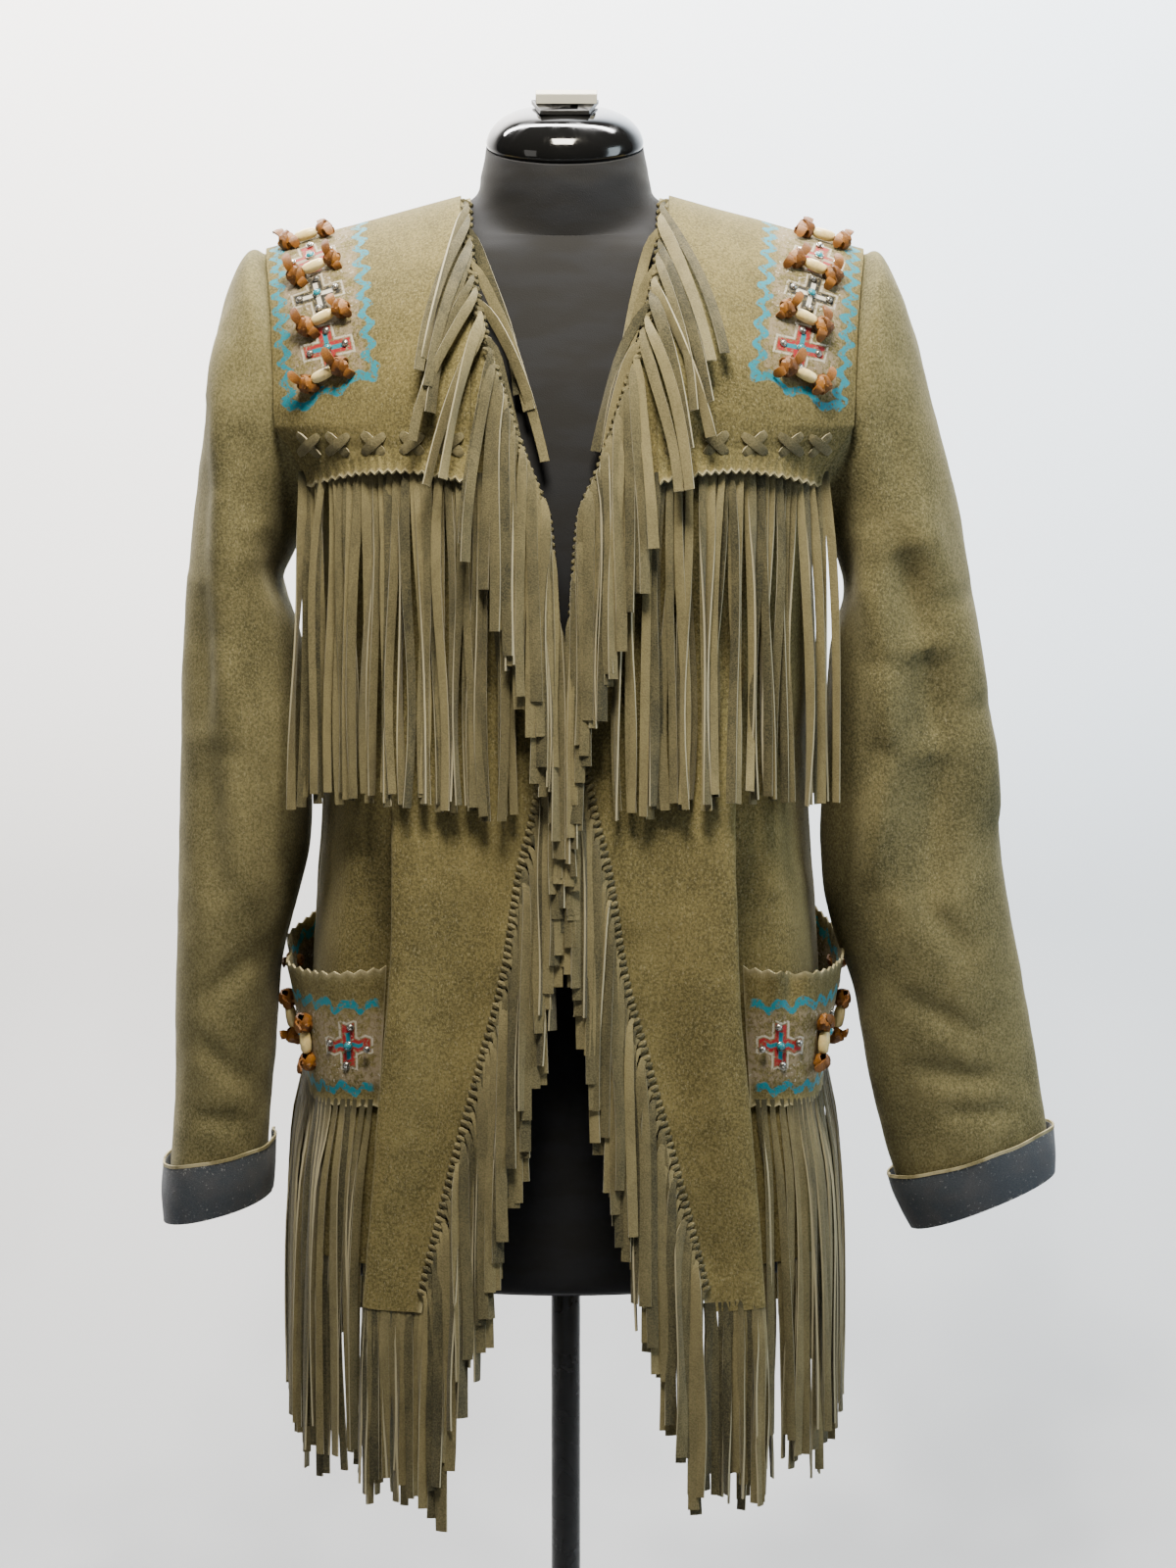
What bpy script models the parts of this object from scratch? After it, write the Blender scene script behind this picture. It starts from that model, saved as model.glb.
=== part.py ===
"""A fringed suede jacket on a padded dress form with a stand.

Run with: blender --background --python part.py
Metres, +Z up, the wearer faces -Y. The origin is the centre of the stand's underside.
The jacket's right side is at -X. Sizes are written for the +X side and mirrored.
"""

import math

import bmesh
import bpy
from mathutils import Matrix, Vector

# Driving sizes
SUEDE = 0.0020  # thickness of the body cloth
OVERLAY = 0.0018  # thickness of the yokes and pockets
THONG = 0.0010  # thickness of a fringe strand
SEAM_GAP = 0.0003  # gap between pieces at a seam
HANG_GAP = 0.0009  # gap over a fringe's strip
LAY_GAP = 0.0003  # gap under a piece that lies on a panel

UNDERARM_Z = 1.235
CHEST_Z = 1.300  # above this line the panels round over to the shoulder seam
FOLD_TOP_Z = 1.170  # the front folds start here
FOLD_FULL_Z = 1.050  # and are at full depth from here down
NECK_X = 0.0617
SHOULDER_TIP_X = 0.195
NECK_Z = 1.4475
SHOULDER_FALL = 0.268  # drop of the shoulder line for each metre outwards
BACK_NECK_RISE = 0.006
BACK_NECK_DEPTH = 0.052
NECKLINE_POWER = 2.5

PLAN_POWER = 2.2  # squareness of the body's plan sections
SHOULDER_POWER = 1.7  # squareness of the round from chest to shoulder seam

# Half width, front depth and back depth of the body at each height
TORSO_COLUMNS = ("z", "half_width", "front", "back")
TORSO = (
    (0.740, 0.178, 0.140, 0.116),
    (0.870, 0.172, 0.136, 0.117),
    (0.950, 0.168, 0.132, 0.110),
    (1.050, 0.162, 0.128, 0.100),
    (1.150, 0.160, 0.131, 0.104),
    (1.235, 0.163, 0.132, 0.110),
    (1.300, 0.215, 0.124, 0.106),
)

# Where the front edge runs, from the hem point to the neck
EDGE_COLUMNS = ("z", "x")
EDGE = (
    (0.742, 0.0904), (0.835, 0.0670), (0.900, 0.0495), (0.956, 0.0350),
    (1.020, 0.0250), (1.058, 0.0160), (1.100, 0.0090), (1.170, 0.0045),
    (1.200, 0.0060), (1.242, 0.0095), (1.278, 0.0230), (1.316, 0.0360),
    (1.360, 0.0490), (1.390, 0.0558), (1.420, 0.0600), (1.4475, 0.0617),
)

# The upper armhole, from the chest line to the shoulder tip
ARMHOLE_COLUMNS = ("z", "x")
ARMHOLE = ((1.300, 0.183), (1.360, 0.1865), (1.3905, 0.1905), (1.4118, 0.195))

# Plan of the hanging front: edge, crest of the fold, crease behind it, hip
FOLD_COLUMNS = ("z", "edge_y", "crest_x", "crest_y", "crease_x", "crease_y", "hip_x", "hip_y")
FOLD = (
    (0.740, -0.146, 0.128, -0.141, 0.102, -0.103, 0.159, -0.090),
    (0.870, -0.138, 0.117, -0.139, 0.096, -0.100, 0.153, -0.087),
    (0.950, -0.134, 0.109, -0.136, 0.092, -0.100, 0.147, -0.083),
    (1.050, -0.130, 0.105, -0.129, 0.094, -0.102, 0.138, -0.078),
)
FOLD_KNOTS = (0.0, 0.42, 0.54, 0.76, 1.0)  # edge, crest, crease, hip, side seam

# Hem height along the section: 0 front edge, 1 side seam, 2 centre back
HEM = (
    (0.0, 0.742), (0.42, 0.745), (0.54, 0.757), (0.77, 0.768), (1.0, 0.776), (1.18, 0.789), (1.35, 0.806),
    (1.53, 0.828), (1.68, 0.8425), (1.77, 0.8485), (1.88, 0.8535), (2.0, 0.855),
)

BACK_FOLD_DEPTH = 0.005
BACK_FOLDS = 2.5

# Right and left sleeve: the upper edge, the lower edge, half depth and middle depth of each ring
SLEEVE_COLUMNS = ("outer_x", "outer_z", "inner_x", "inner_z", "half_depth", "mid_y")
SLEEVES = {
    "right": (
        (0.2075, 1.4105, 0.1720, 1.2270, 0.0700, 0.000),
        (0.2235, 1.3750, 0.1790, 1.2130, 0.0700, -0.002),
        (0.2345, 1.3080, 0.1840, 1.1930, 0.0690, -0.004),
        (0.2400, 1.2200, 0.1860, 1.1600, 0.0670, -0.006),
        (0.2445, 1.1300, 0.1850, 1.0900, 0.0630, -0.008),
        (0.2480, 1.0400, 0.1820, 1.0200, 0.0590, -0.010),
        (0.2520, 0.9500, 0.1890, 0.9450, 0.0550, -0.010),
        (0.2580, 0.8700, 0.1950, 0.8740, 0.0510, -0.010),
        (0.2635, 0.8110, 0.1975, 0.8280, 0.0480, -0.010),
        (0.2655, 0.7730, 0.1985, 0.7920, 0.0460, -0.010),
    ),
    "left": (
        (0.2075, 1.4090, 0.1720, 1.2270, 0.0700, 0.000),
        (0.2260, 1.3700, 0.1790, 1.2110, 0.0690, -0.002),
        (0.2435, 1.3050, 0.1840, 1.1890, 0.0660, -0.004),
        (0.2610, 1.2200, 0.1870, 1.1500, 0.0620, -0.006),
        (0.2760, 1.1300, 0.1860, 1.0750, 0.0570, -0.008),
        (0.2860, 1.0400, 0.1840, 0.9950, 0.0510, -0.010),
        (0.2970, 0.9600, 0.1930, 0.9250, 0.0460, -0.010),
        (0.3110, 0.8850, 0.2040, 0.8620, 0.0400, -0.010),
        (0.3200, 0.8350, 0.2190, 0.8030, 0.0370, -0.010),
        (0.3240, 0.8050, 0.2330, 0.7680, 0.0350, -0.010),
    ),
}
SLEEVE_SIDES = 16
CUFF_CLEAR = 0.0008  # gap between sleeve and cuff at the turn
CUFF_FLARE = 0.0022  # extra gap at the cuff's free edge
CUFF_SLIT = 0.35  # in ring steps, the slit left open at the inner seam

# Yokes and pockets
YOKE_LOW_Z = 1.2665
YOKE_IN_X = 0.058
YOKE_IN_GAP = 0.0088  # from the front edge to the yoke, clear of the edge's fringe strip
YOKE_OUT_GAP = 0.001  # from the yoke to the armhole
POCKET_LIFT = 0.0009  # gap under the sewn edges of a pocket
POCKET_FROM = 0.64
POCKET_TO = 1.16
POCKET_BULGE = 0.017
POCKET_COLUMNS = ("along", "bottom_z", "mouth_z")
POCKET = ((0.64, 0.866, 0.954), (0.80, 0.866, 0.948), (0.95, 0.876, 0.952), (1.16, 0.905, 0.978))

# Fringes
CHEST_FRINGE_LENGTH = 0.210
CHEST_FRINGE_IN_X = 0.032
CHEST_FRINGE_OUT_X = 0.1655
CHEST_STRANDS = 26
EDGE_STRAND_LENGTH = 0.138
EDGE_STRAND_SLOPE = 0.085  # each strand leans out over the ones below it
EDGE_STRANDS = 17  # on each of the two strips of a front edge
EDGE_TOP_Z = 1.425
EDGE_WAIST_Z = 1.150  # the two strips of a front edge meet here
EDGE_LOW_Z = 0.748
EDGE_STRIP = (0.0075, 0.0025)  # the strip's two edges, inwards from the cloth's edge
EDGE_STRIP_OFF = 0.0026  # the strip's middle, off the cloth's outer face
EDGE_HALF_ROOT = 0.0026
EDGE_HALF_WIDTH = 0.0022
EDGE_LAP = 0.0035  # sideways from the cloth's edge to where a strand hangs
EDGE_OUT = 0.0050  # how far a strand's top stands off what it hangs over
EDGE_FIRST_DROP = 0.012
EDGE_LEAST_X = 0.0031  # the two sides stay clear of each other
# The strands all bend at these heights, so that they lie in layers
EDGE_LEVELS = (0.600, 0.742, 0.870, 0.950, 1.050, 1.150, 1.235, 1.300, 1.335, 1.370, 1.400, 1.430)
POCKET_FRINGE_LENGTH = 0.228
POCKET_STRANDS = 18
HEM_FRONT_LENGTH = 0.116
HEM_SIDE_LENGTH = 0.140
HEM_BACK_LENGTH = 0.125
HEM_FRONT_STRANDS = 8
HEM_SIDE_STRANDS = 14
HEM_BACK_STRANDS = 36
STRIP_HEIGHT = 0.005

# Bone beads with knotted thongs: x, z, tilt in degrees from level
TOGGLE_COLUMNS = ("x", "z", "tilt")
SHOULDER_TOGGLES = ((0.166, 1.4130, -17), (0.158, 1.3965, -20), (0.150, 1.3650, -19), (0.149, 1.3300, -19))
POCKET_TOGGLE_COLUMNS = ("along", "height")
POCKET_TOGGLES = ((0.796, 0.46), (0.926, 0.50), (1.056, 0.55))
TOGGLE_SIDES = 6
TOGGLE_FLAT = math.cos(math.pi / TOGGLE_SIDES)  # a toggle lies on a flat side
KNOT_RADIUS = 0.0040
BEAD_RADIUS = 0.0036
# Radius along a toggle: knot, neck, bead, neck, knot
TOGGLE_PROFILE = (
    (-0.0185, 0.0016), (-0.0165, KNOT_RADIUS), (-0.0110, KNOT_RADIUS), (-0.0085, 0.0016),
    (-0.0065, BEAD_RADIUS), (0.0065, BEAD_RADIUS), (0.0085, 0.0016), (0.0110, KNOT_RADIUS),
    (0.0165, KNOT_RADIUS), (0.0185, 0.0016),
)

# Lacing crosses along the yoke
LACING_Z = 1.2845
LACING_X = (0.070, 0.094, 0.118, 0.141, 0.160)
LACING_SPAN = (0.0150, 0.0120)
LACING_STRAP = 0.0034

# Dress form and stand
FORM_COLUMNS = ("z", "half_width", "front", "back", "tilt")
FORM = (
    (0.741, 0.150, 0.098, 0.086, 0.0),
    (0.750, 0.157, 0.104, 0.092, 0.0),
    (0.800, 0.160, 0.108, 0.096, 0.0),
    (0.870, 0.156, 0.108, 0.098, 0.0),
    (0.950, 0.143, 0.098, 0.090, 0.0),
    (1.040, 0.122, 0.090, 0.078, 0.0),
    (1.120, 0.130, 0.098, 0.082, 0.0),
    (1.200, 0.145, 0.108, 0.090, 0.0),
    (1.270, 0.154, 0.104, 0.092, 0.0),
    (1.330, 0.163, 0.092, 0.088, 0.0),
    (1.375, 0.170, 0.076, 0.078, 0.0),
)
FORM_SIDES = 24
FORM_SHOULDER_GAP = 0.0005
FORM_SLACK = 0.13  # the cloth stands off the form by this much more for each metre from the shoulder line
# Plan rings that lie under the cloth of the shoulders
FORM_SHOULDERS = ((0.171, 0.060, 0.064), (0.145, 0.053, 0.056), (0.105, 0.050, 0.052), (0.060, 0.049, 0.048))
NECK_RINGS = ((1.457, 0.056, 0.053, 0.048, 0.12), (1.480, 0.0510, 0.052, 0.049, 0.29))
CAP_RISE = 0.024
CAP_REACH = 0.0515
CAP_TILT = 0.29
POLE_RADIUS = 0.0088
BASE_RADIUS = 0.170
BASE_THICKNESS = 0.010
BASE_EDGE = 0.003
HUB_RADIUS = 0.024
HUB_TAPER = 0.7  # top radius of the hub as a share of its foot
HUB_TOP = 0.040

SUEDE_COLOUR = (0.115, 0.098, 0.042, 1.0)
FRINGE_COLOUR = (0.150, 0.130, 0.062, 1.0)


def curve(table, column, at, columns):
    """The table's column at a height, by a cubic that never overshoots its rows."""
    k = columns.index(column)
    xs = [row[0] for row in table]
    ys = [row[k] for row in table]
    at = min(max(at, xs[0]), xs[-1])
    steps = [(ys[i + 1] - ys[i]) / (xs[i + 1] - xs[i]) for i in range(len(xs) - 1)]
    slopes = [steps[0]]
    for before, after in zip(steps, steps[1:]):
        slopes.append(0.0 if before * after <= 0 else 2 * before * after / (before + after))
    slopes.append(steps[-1])
    i = max(j for j in range(len(xs) - 1) if xs[j] <= at)
    h = xs[i + 1] - xs[i]
    t = (at - xs[i]) / h
    return (
        (2 * t**3 - 3 * t**2 + 1) * ys[i]
        + (t**3 - 2 * t**2 + t) * h * slopes[i]
        + (3 * t**2 - 2 * t**3) * ys[i + 1]
        + (t**3 - t**2) * h * slopes[i + 1]
    )


def ease(a, b, at):
    """0 at a, 1 at b, smooth between."""
    t = min(max((at - a) / (b - a), 0.0), 1.0)
    return t * t * (3 - 2 * t)


def power(value, exponent):
    return math.copysign(abs(value) ** exponent, value)


def torso(column, z):
    return curve(TORSO, column, z, TORSO_COLUMNS)


def edge_x(z):
    return curve(EDGE, "x", z, EDGE_COLUMNS)


def shoulder_z(x):
    """Height of the shoulder line, carried on over the neck."""
    inside = max(0.0, 1 - (x / NECK_X) ** 2)
    return NECK_Z - SHOULDER_FALL * max(0.0, abs(x) - NECK_X) + BACK_NECK_RISE * inside


def chest_point(x, z, face):
    """A point of the upper body: face -1 is the front, +1 the back."""
    level = min(z, CHEST_Z)
    side = "front" if face < 0 else "back"
    share = min(1.0, abs(x) / torso("half_width", level))
    y = torso(side, level) * (1 - share**PLAN_POWER) ** (1 / PLAN_POWER)
    if z > CHEST_Z:
        rise = min(1.0, (z - CHEST_Z) / (shoulder_z(x) - CHEST_Z))
        y *= (1 - rise**SHOULDER_POWER) ** (1 / SHOULDER_POWER)
    return Vector((x, face * y, z))


def chest_normal(x, z, face):
    step = 0.0004
    z = min(z, shoulder_z(x) - 2 * step)
    across = (chest_point(x + step, z, face) - chest_point(x - step, z, face)).y
    up = (chest_point(x, z + step, face) - chest_point(x, z - step, face)).y
    return Vector((-face * across, face * 2 * step, -face * up)).normalized()


def cap_normal(x, z, face):
    """As chest_normal, and straight up from the shoulder line on the line itself."""
    if z > shoulder_z(x) - 1e-6:
        return Vector((SHOULDER_FALL, 0, 1)).normalized()
    return chest_normal(x, z, face)


def through(points, knots, at):
    """A smooth plan curve through points, read at a knot value."""
    i = max(j for j in range(len(knots) - 1) if knots[j] <= at + 1e-9)
    ends = [2 * points[0] - points[1], *points, Vector((points[-1].x, -points[-2].y))]
    p0, p1, p2, p3 = ends[i : i + 4]
    t = (at - knots[i]) / (knots[i + 1] - knots[i])
    return 0.5 * (
        2 * p1 + (p2 - p0) * t + (2 * p0 - 5 * p1 + 4 * p2 - p3) * t**2 + (3 * p1 - p0 - 3 * p2 + p3) * t**3
    )


def body_point(along, z):
    """The body at a height: along is 0 at the front edge, 1 at the side seam, 2 at the centre back."""
    half = torso("half_width", z)
    if along > 1:
        angle = math.pi / 2 * along
        fold = ease(FOLD_TOP_Z, FOLD_FULL_Z, z) * BACK_FOLD_DEPTH * math.sin(math.pi * BACK_FOLDS * (along - 1)) ** 2
        x = half * power(math.sin(angle), 2 / PLAN_POWER)
        y = (torso("back", z) + fold) * power(-math.cos(angle), 2 / PLAN_POWER)
        return Vector((x, y, z))
    start = math.asin(min(1.0, edge_x(z) / half) ** (PLAN_POWER / 2))
    angle = start + (math.pi / 2 - start) * along
    plain = Vector((
        half * power(math.sin(angle), 2 / PLAN_POWER),
        -torso("front", z) * power(math.cos(angle), 2 / PLAN_POWER),
    ))
    amount = ease(FOLD_TOP_Z, FOLD_FULL_Z, z)
    if amount == 0:
        return plain.to_3d() + Vector((0, 0, z))
    row = {name: curve(FOLD, name, z, FOLD_COLUMNS) for name in FOLD_COLUMNS[1:]}
    folded = through(
        [
            Vector((edge_x(z), row["edge_y"])),
            Vector((row["crest_x"], row["crest_y"])),
            Vector((row["crease_x"], row["crease_y"])),
            Vector((row["hip_x"], row["hip_y"])),
            Vector((half, 0.0)),
        ],
        FOLD_KNOTS,
        max(along, 0.0),
    )
    return plain.lerp(folded, amount).to_3d() + Vector((0, 0, z))


def body_normal(along, z):
    step = 0.004
    low, high = max(along - step, 0.0), min(along + step, 2.0)
    if abs(along - 1) < step:
        return Vector((1, 0, 0))
    across = body_point(high, z) - body_point(low, z)
    up = body_point(along, z + 0.002) - body_point(along, z - 0.002)
    return across.cross(up).normalized()


def hem_z(along):
    """The hem runs straight between its knots, as the panels' columns do."""
    along = min(max(along, 0.0), 2.0)
    i = max(j for j in range(len(HEM) - 1) if HEM[j][0] <= along)
    (a, low), (b, high) = HEM[i], HEM[i + 1]
    return low + (high - low) * (along - a) / (b - a)


def front_most(x, z):
    """The smallest y of the front near x, so that what hangs there clears its folds."""
    if z > CHEST_Z:
        return chest_point(x, min(z, shoulder_z(x)), -1).y
    near = [p.y for p in (body_point(k / 80, z) for k in range(81)) if abs(p.x - x) < 0.007]
    return min(near) if near else chest_point(min(x, 0.155), z, -1).y


def side_angle_share(z):
    """How far from the chest line's armhole point the lower armhole is, 1 at the chest line and 0 at the underarm."""
    drop = (CHEST_Z - z) / (CHEST_Z - UNDERARM_Z)
    return math.sqrt(max(0.0, 1 - drop * drop))


def armhole_along(z, face):
    """Where the lower armhole cuts the section, as along."""
    half = torso("half_width", CHEST_Z)
    corner = math.asin((curve(ARMHOLE, "x", CHEST_Z, ARMHOLE_COLUMNS) / half) ** (PLAN_POWER / 2))
    angle = math.pi / 2 - (math.pi / 2 - corner) * side_angle_share(z)
    if face > 0:
        return 2 - angle / (math.pi / 2)
    start = math.asin((edge_x(z) / torso("half_width", z)) ** (PLAN_POWER / 2))
    return (angle - start) / (math.pi / 2 - start)


SKIRT_ROWS = (0.0, 0.10, 0.24, 0.40, 0.56, 0.70, 0.80, 0.90, 1.0)
SCYE_ROWS = (0.92, 0.60, 0.0)  # drop below the chest line, as a share
CAP_ANGLES = (20, 40, 57, 73, 90)
FRONT_COLUMNS = (0.0, 0.14, 0.28, 0.37, 0.42, 0.46, 0.50, 0.54, 0.60, 0.68, 0.77, 0.88, 1.0)
BACK_COLUMNS = (0.0, 0.12, 0.23, NECK_X / SHOULDER_TIP_X, 0.47, 0.65, 0.82, 1.0)


def cap_place(share, angle, face):
    """x and z in the round over the shoulder: share is 0 at the edge or centre and 1 at the armhole."""
    rise = power(math.sin(math.radians(angle)), 2 / SHOULDER_POWER)
    z = CHEST_Z
    x = 0.0
    for _ in range(12):
        inner = edge_x(z) if face < 0 else 0.0
        outer = curve(ARMHOLE, "x", z, ARMHOLE_COLUMNS)
        x = inner + (outer - inner) * share
        top = shoulder_z(x)
        if face > 0 and x < NECK_X:
            # the back neckline stops this column before the shoulder line
            depth = BACK_NECK_DEPTH * (1 - (x / NECK_X) ** NECKLINE_POWER) ** (1 / NECKLINE_POWER)
            full = chest_point(x, CHEST_Z, 1).y
            reach = (1 - (depth / full) ** SHOULDER_POWER) ** (1 / SHOULDER_POWER)
            z = CHEST_Z + (top - CHEST_Z) * min(rise, 1.0) * reach
        else:
            z = CHEST_Z + (top - CHEST_Z) * rise
    return x, min(z, shoulder_z(x))


def panel_rows(face, columns):
    """Outer points and normals of a front (face -1) or half back (face +1), from the hem up."""
    rows = []
    for t in SKIRT_ROWS:
        row = []
        for c in columns:
            along = c if face < 0 else 2 - c
            z = hem_z(along) + (UNDERARM_Z - hem_z(along)) * t
            row.append((body_point(along, z), body_normal(along, z)))
        rows.append(row)
    for drop in SCYE_ROWS:
        z = CHEST_Z - drop * (CHEST_Z - UNDERARM_Z)
        reach = armhole_along(z, face)
        row = []
        for c in columns:
            along = c * reach if face < 0 else 2 - c * (2 - reach)
            point = body_point(along, z)
            row.append((point, chest_normal(point.x, z, face)))
        rows.append(row)
    shares = [(p.x, p) for p, _ in rows[-1]]
    first, last = shares[0][0], shares[-1][0]
    for angle in CAP_ANGLES:
        row = []
        for x_low, _ in shares:
            x, z = cap_place((x_low - first) / (last - first), angle, face)
            row.append((chest_point(x, z, face), cap_normal(x, z, face)))
        rows.append(row)
    return rows


def scye_start():
    return len(SKIRT_ROWS) - 1


def mirror(points, side):
    """Points are made for the left, +X; the right side is their mirror."""
    if side == "left":
        return points
    return [[Vector((-p.x, p.y, p.z)) for p in row] for row in points]


def material(name, colour, roughness, metallic=0.0):
    found = bpy.data.materials.get(name)
    if found:
        return found
    made = bpy.data.materials.new(name)
    made.use_nodes = True
    shader = made.node_tree.nodes["Principled BSDF"]
    shader.inputs["Base Color"].default_value = colour
    shader.inputs["Roughness"].default_value = roughness
    shader.inputs["Metallic"].default_value = metallic
    return made


def suede():
    return material("olive_suede", SUEDE_COLOUR, 0.95)


def fringe_suede():
    return material("fringe_suede", FRINGE_COLOUR, 0.9)


def place(name, bm, finish, smooth=True):
    """Puts a finished bmesh into the object's collection as a named object."""
    bmesh.ops.remove_doubles(bm, verts=bm.verts, dist=1e-6)
    bmesh.ops.recalc_face_normals(bm, faces=bm.faces)
    mesh = bpy.data.meshes.new(name)
    bm.to_mesh(mesh)
    bm.free()
    if smooth:
        mesh.shade_smooth()
    mesh.materials.append(finish)
    obj = bpy.data.objects.new(name, mesh)
    bpy.data.collections["fringed_jacket_on_form"].objects.link(obj)
    return obj


def wall(name, outer, inner, finish, tube=False):
    """A closed wall of cloth between two grids of points. A tube's rows close round."""
    bm = bmesh.new()
    grids = [[[bm.verts.new(p) for p in row] for row in grid] for grid in (outer, inner)]
    rows, across = len(outer), len(outer[0])
    steps = across if tube else across - 1
    for grid in grids:
        for j in range(rows - 1):
            for i in range(steps):
                k = (i + 1) % across
                bm.faces.new((grid[j][i], grid[j][k], grid[j + 1][k], grid[j + 1][i]))
    a, b = grids
    for i in range(steps):
        k = (i + 1) % across
        for j in (0, rows - 1):
            bm.faces.new((a[j][i], a[j][k], b[j][k], b[j][i]))
    if not tube:
        for j in range(rows - 1):
            for i in (0, across - 1):
                bm.faces.new((a[j][i], a[j + 1][i], b[j + 1][i], b[j][i]))
    return place(name, bm, finish)


def offset(rows, distance):
    return [[p + n * distance for p, n in row] for row in rows]


def shift(grid, picks, move):
    for j, i in picks:
        grid[j][i] = grid[j][i] + move


def build_fronts():
    rows = panel_rows(-1, FRONT_COLUMNS)
    grids = [offset(rows, 0.0), offset(rows, -SUEDE)]
    last, start = len(FRONT_COLUMNS) - 1, scye_start()
    for grid in grids:
        shift(grid, [(j, last) for j in range(start + 1)], Vector((0, -SEAM_GAP / 2, 0)))
        shift(grid, [(j, last) for j in range(start + 1, len(rows))], Vector((-SEAM_GAP / 2, 0, 0)))
        shift(grid, [(len(rows) - 1, i) for i in range(last + 1)], Vector((0, -SEAM_GAP / 2, 0)))
    for side in ("left", "right"):
        wall(f"front_{side}", mirror(grids[0], side), mirror(grids[1], side), suede())


def build_back():
    rows = panel_rows(1, BACK_COLUMNS)
    grids = [offset(rows, 0.0), offset(rows, -SUEDE)]
    last, start = len(BACK_COLUMNS) - 1, scye_start()
    for grid in grids:
        shift(grid, [(j, last) for j in range(start + 1)], Vector((0, SEAM_GAP / 2, 0)))
        shift(grid, [(j, last) for j in range(start + 1, len(rows))], Vector((-SEAM_GAP / 2, 0, 0)))
        outside = [(len(rows) - 1, i) for i in range(last + 1) if grid[-1][i].x > NECK_X - 0.004]
        shift(grid, outside, Vector((0, SEAM_GAP / 2, 0)))
    whole = []
    for grid in grids:
        right = mirror(grid, "right")
        whole.append([list(reversed(r[1:])) + l for r, l in zip(right, grid)])
    wall("back", whole[0], whole[1], suede())


def armhole_ring():
    """The 16 points of the left armhole, from the shoulder tip down the front and up the back."""
    start = scye_start()
    front = [row[-1] for row in panel_rows(-1, FRONT_COLUMNS)[start:]]
    back = [row[-1] for row in panel_rows(1, BACK_COLUMNS)[start:]]
    ring = list(reversed(front)) + back[1:-1]
    return [p + Vector((SEAM_GAP / 2, 0, 0)) for p, _ in ring], [n for _, n in ring]


def sleeve_ring(row, angles):
    """The points of one sleeve ring and their outward directions."""
    o_x, o_z, i_x, i_z, half_depth, mid_y = row
    centre = Vector(((o_x + i_x) / 2, mid_y, (o_z + i_z) / 2))
    upward = Vector(((o_x - i_x) / 2, 0, (o_z - i_z) / 2))
    points = [
        centre + upward * power(math.cos(a), 0.92) - Vector((0, half_depth * power(math.sin(a), 0.92), 0))
        for a in angles
    ]
    return points


def ring_normals(grid):
    """Outward normals of a tube's grid, from its own points."""
    normals = []
    for j, row in enumerate(grid):
        before, after = grid[max(j - 1, 0)], grid[min(j + 1, len(grid) - 1)]
        middle = sum(row, Vector()) / len(row)
        found = []
        for i, p in enumerate(row):
            around = row[(i + 1) % len(row)] - row[i - 1]
            n = around.cross(after[i] - before[i]).normalized()
            found.append(n if n.dot(p - middle) > 0 else -n)
        normals.append(found)
    return normals


def sleeve_grid(side):
    """Outer points of a sleeve, as if on the left, from the armhole to the cuff's turn."""
    first, _ = armhole_ring()
    middle = Vector((0, 0, (first[0].z + first[SLEEVE_SIDES // 2].z) / 2))
    high = (first[0].z - first[SLEEVE_SIDES // 2].z) / 2
    deep = max(abs(p.y) for p in first)
    angles = [math.atan2(-p.y / deep, (p.z - middle.z) / high) for p in first]
    even = [2 * math.pi * i / SLEEVE_SIDES for i in range(SLEEVE_SIDES)]
    grid = [first]
    rows = SLEEVES[side]
    for k, row in enumerate(rows):
        t = min(1.0, (k + 1) / 4)
        mixed = []
        for a, e in zip(angles, even):
            a = a if a >= -1e-6 else a + 2 * math.pi
            mixed.append(a * (1 - t) + e * t)
        grid.append(sleeve_ring(row, mixed))
    return grid


def build_sleeves():
    for side in ("left", "right"):
        grid = sleeve_grid(side)
        normals = ring_normals(grid)
        normals[0] = [Vector((0, n.y, n.z)).normalized() for n in normals[0]]
        inner = [[p - n * SUEDE for p, n in zip(row, ns)] for row, ns in zip(grid, normals)]
        wall(f"sleeve_{side}", mirror(grid, side), mirror(inner, side), suede(), tube=True)
        build_cuff(side, grid, normals)


def build_cuff(side, grid, normals):
    """The turned-back cuff: an open band round the last two rings, slit at the inner seam."""
    lining = material("cuff_lining", (0.06, 0.062, 0.072, 1.0), 0.9)
    slit = SLEEVE_SIDES // 2 + 2
    order = [(slit + i) % SLEEVE_SIDES for i in range(SLEEVE_SIDES + 1)]
    outer, inner = [], []
    for j, clear in ((-1, CUFF_CLEAR), (-2, CUFF_CLEAR + CUFF_FLARE)):
        row = [(grid[j][i], normals[j][i]) for i in order]
        # open the slit by pulling the band's two ends back along the ring
        row[0] = (row[0][0].lerp(row[1][0], CUFF_SLIT / 2), row[0][1].lerp(row[1][1], CUFF_SLIT / 2).normalized())
        row[-1] = (row[-1][0].lerp(row[-2][0], CUFF_SLIT / 2), row[-1][1].lerp(row[-2][1], CUFF_SLIT / 2).normalized())
        inner.append([p + n * clear for p, n in row])
        outer.append([p + n * (clear + SUEDE) for p, n in row])
    wall(f"cuff_{side}", mirror(outer, side), mirror(inner, side), lining)


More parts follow.
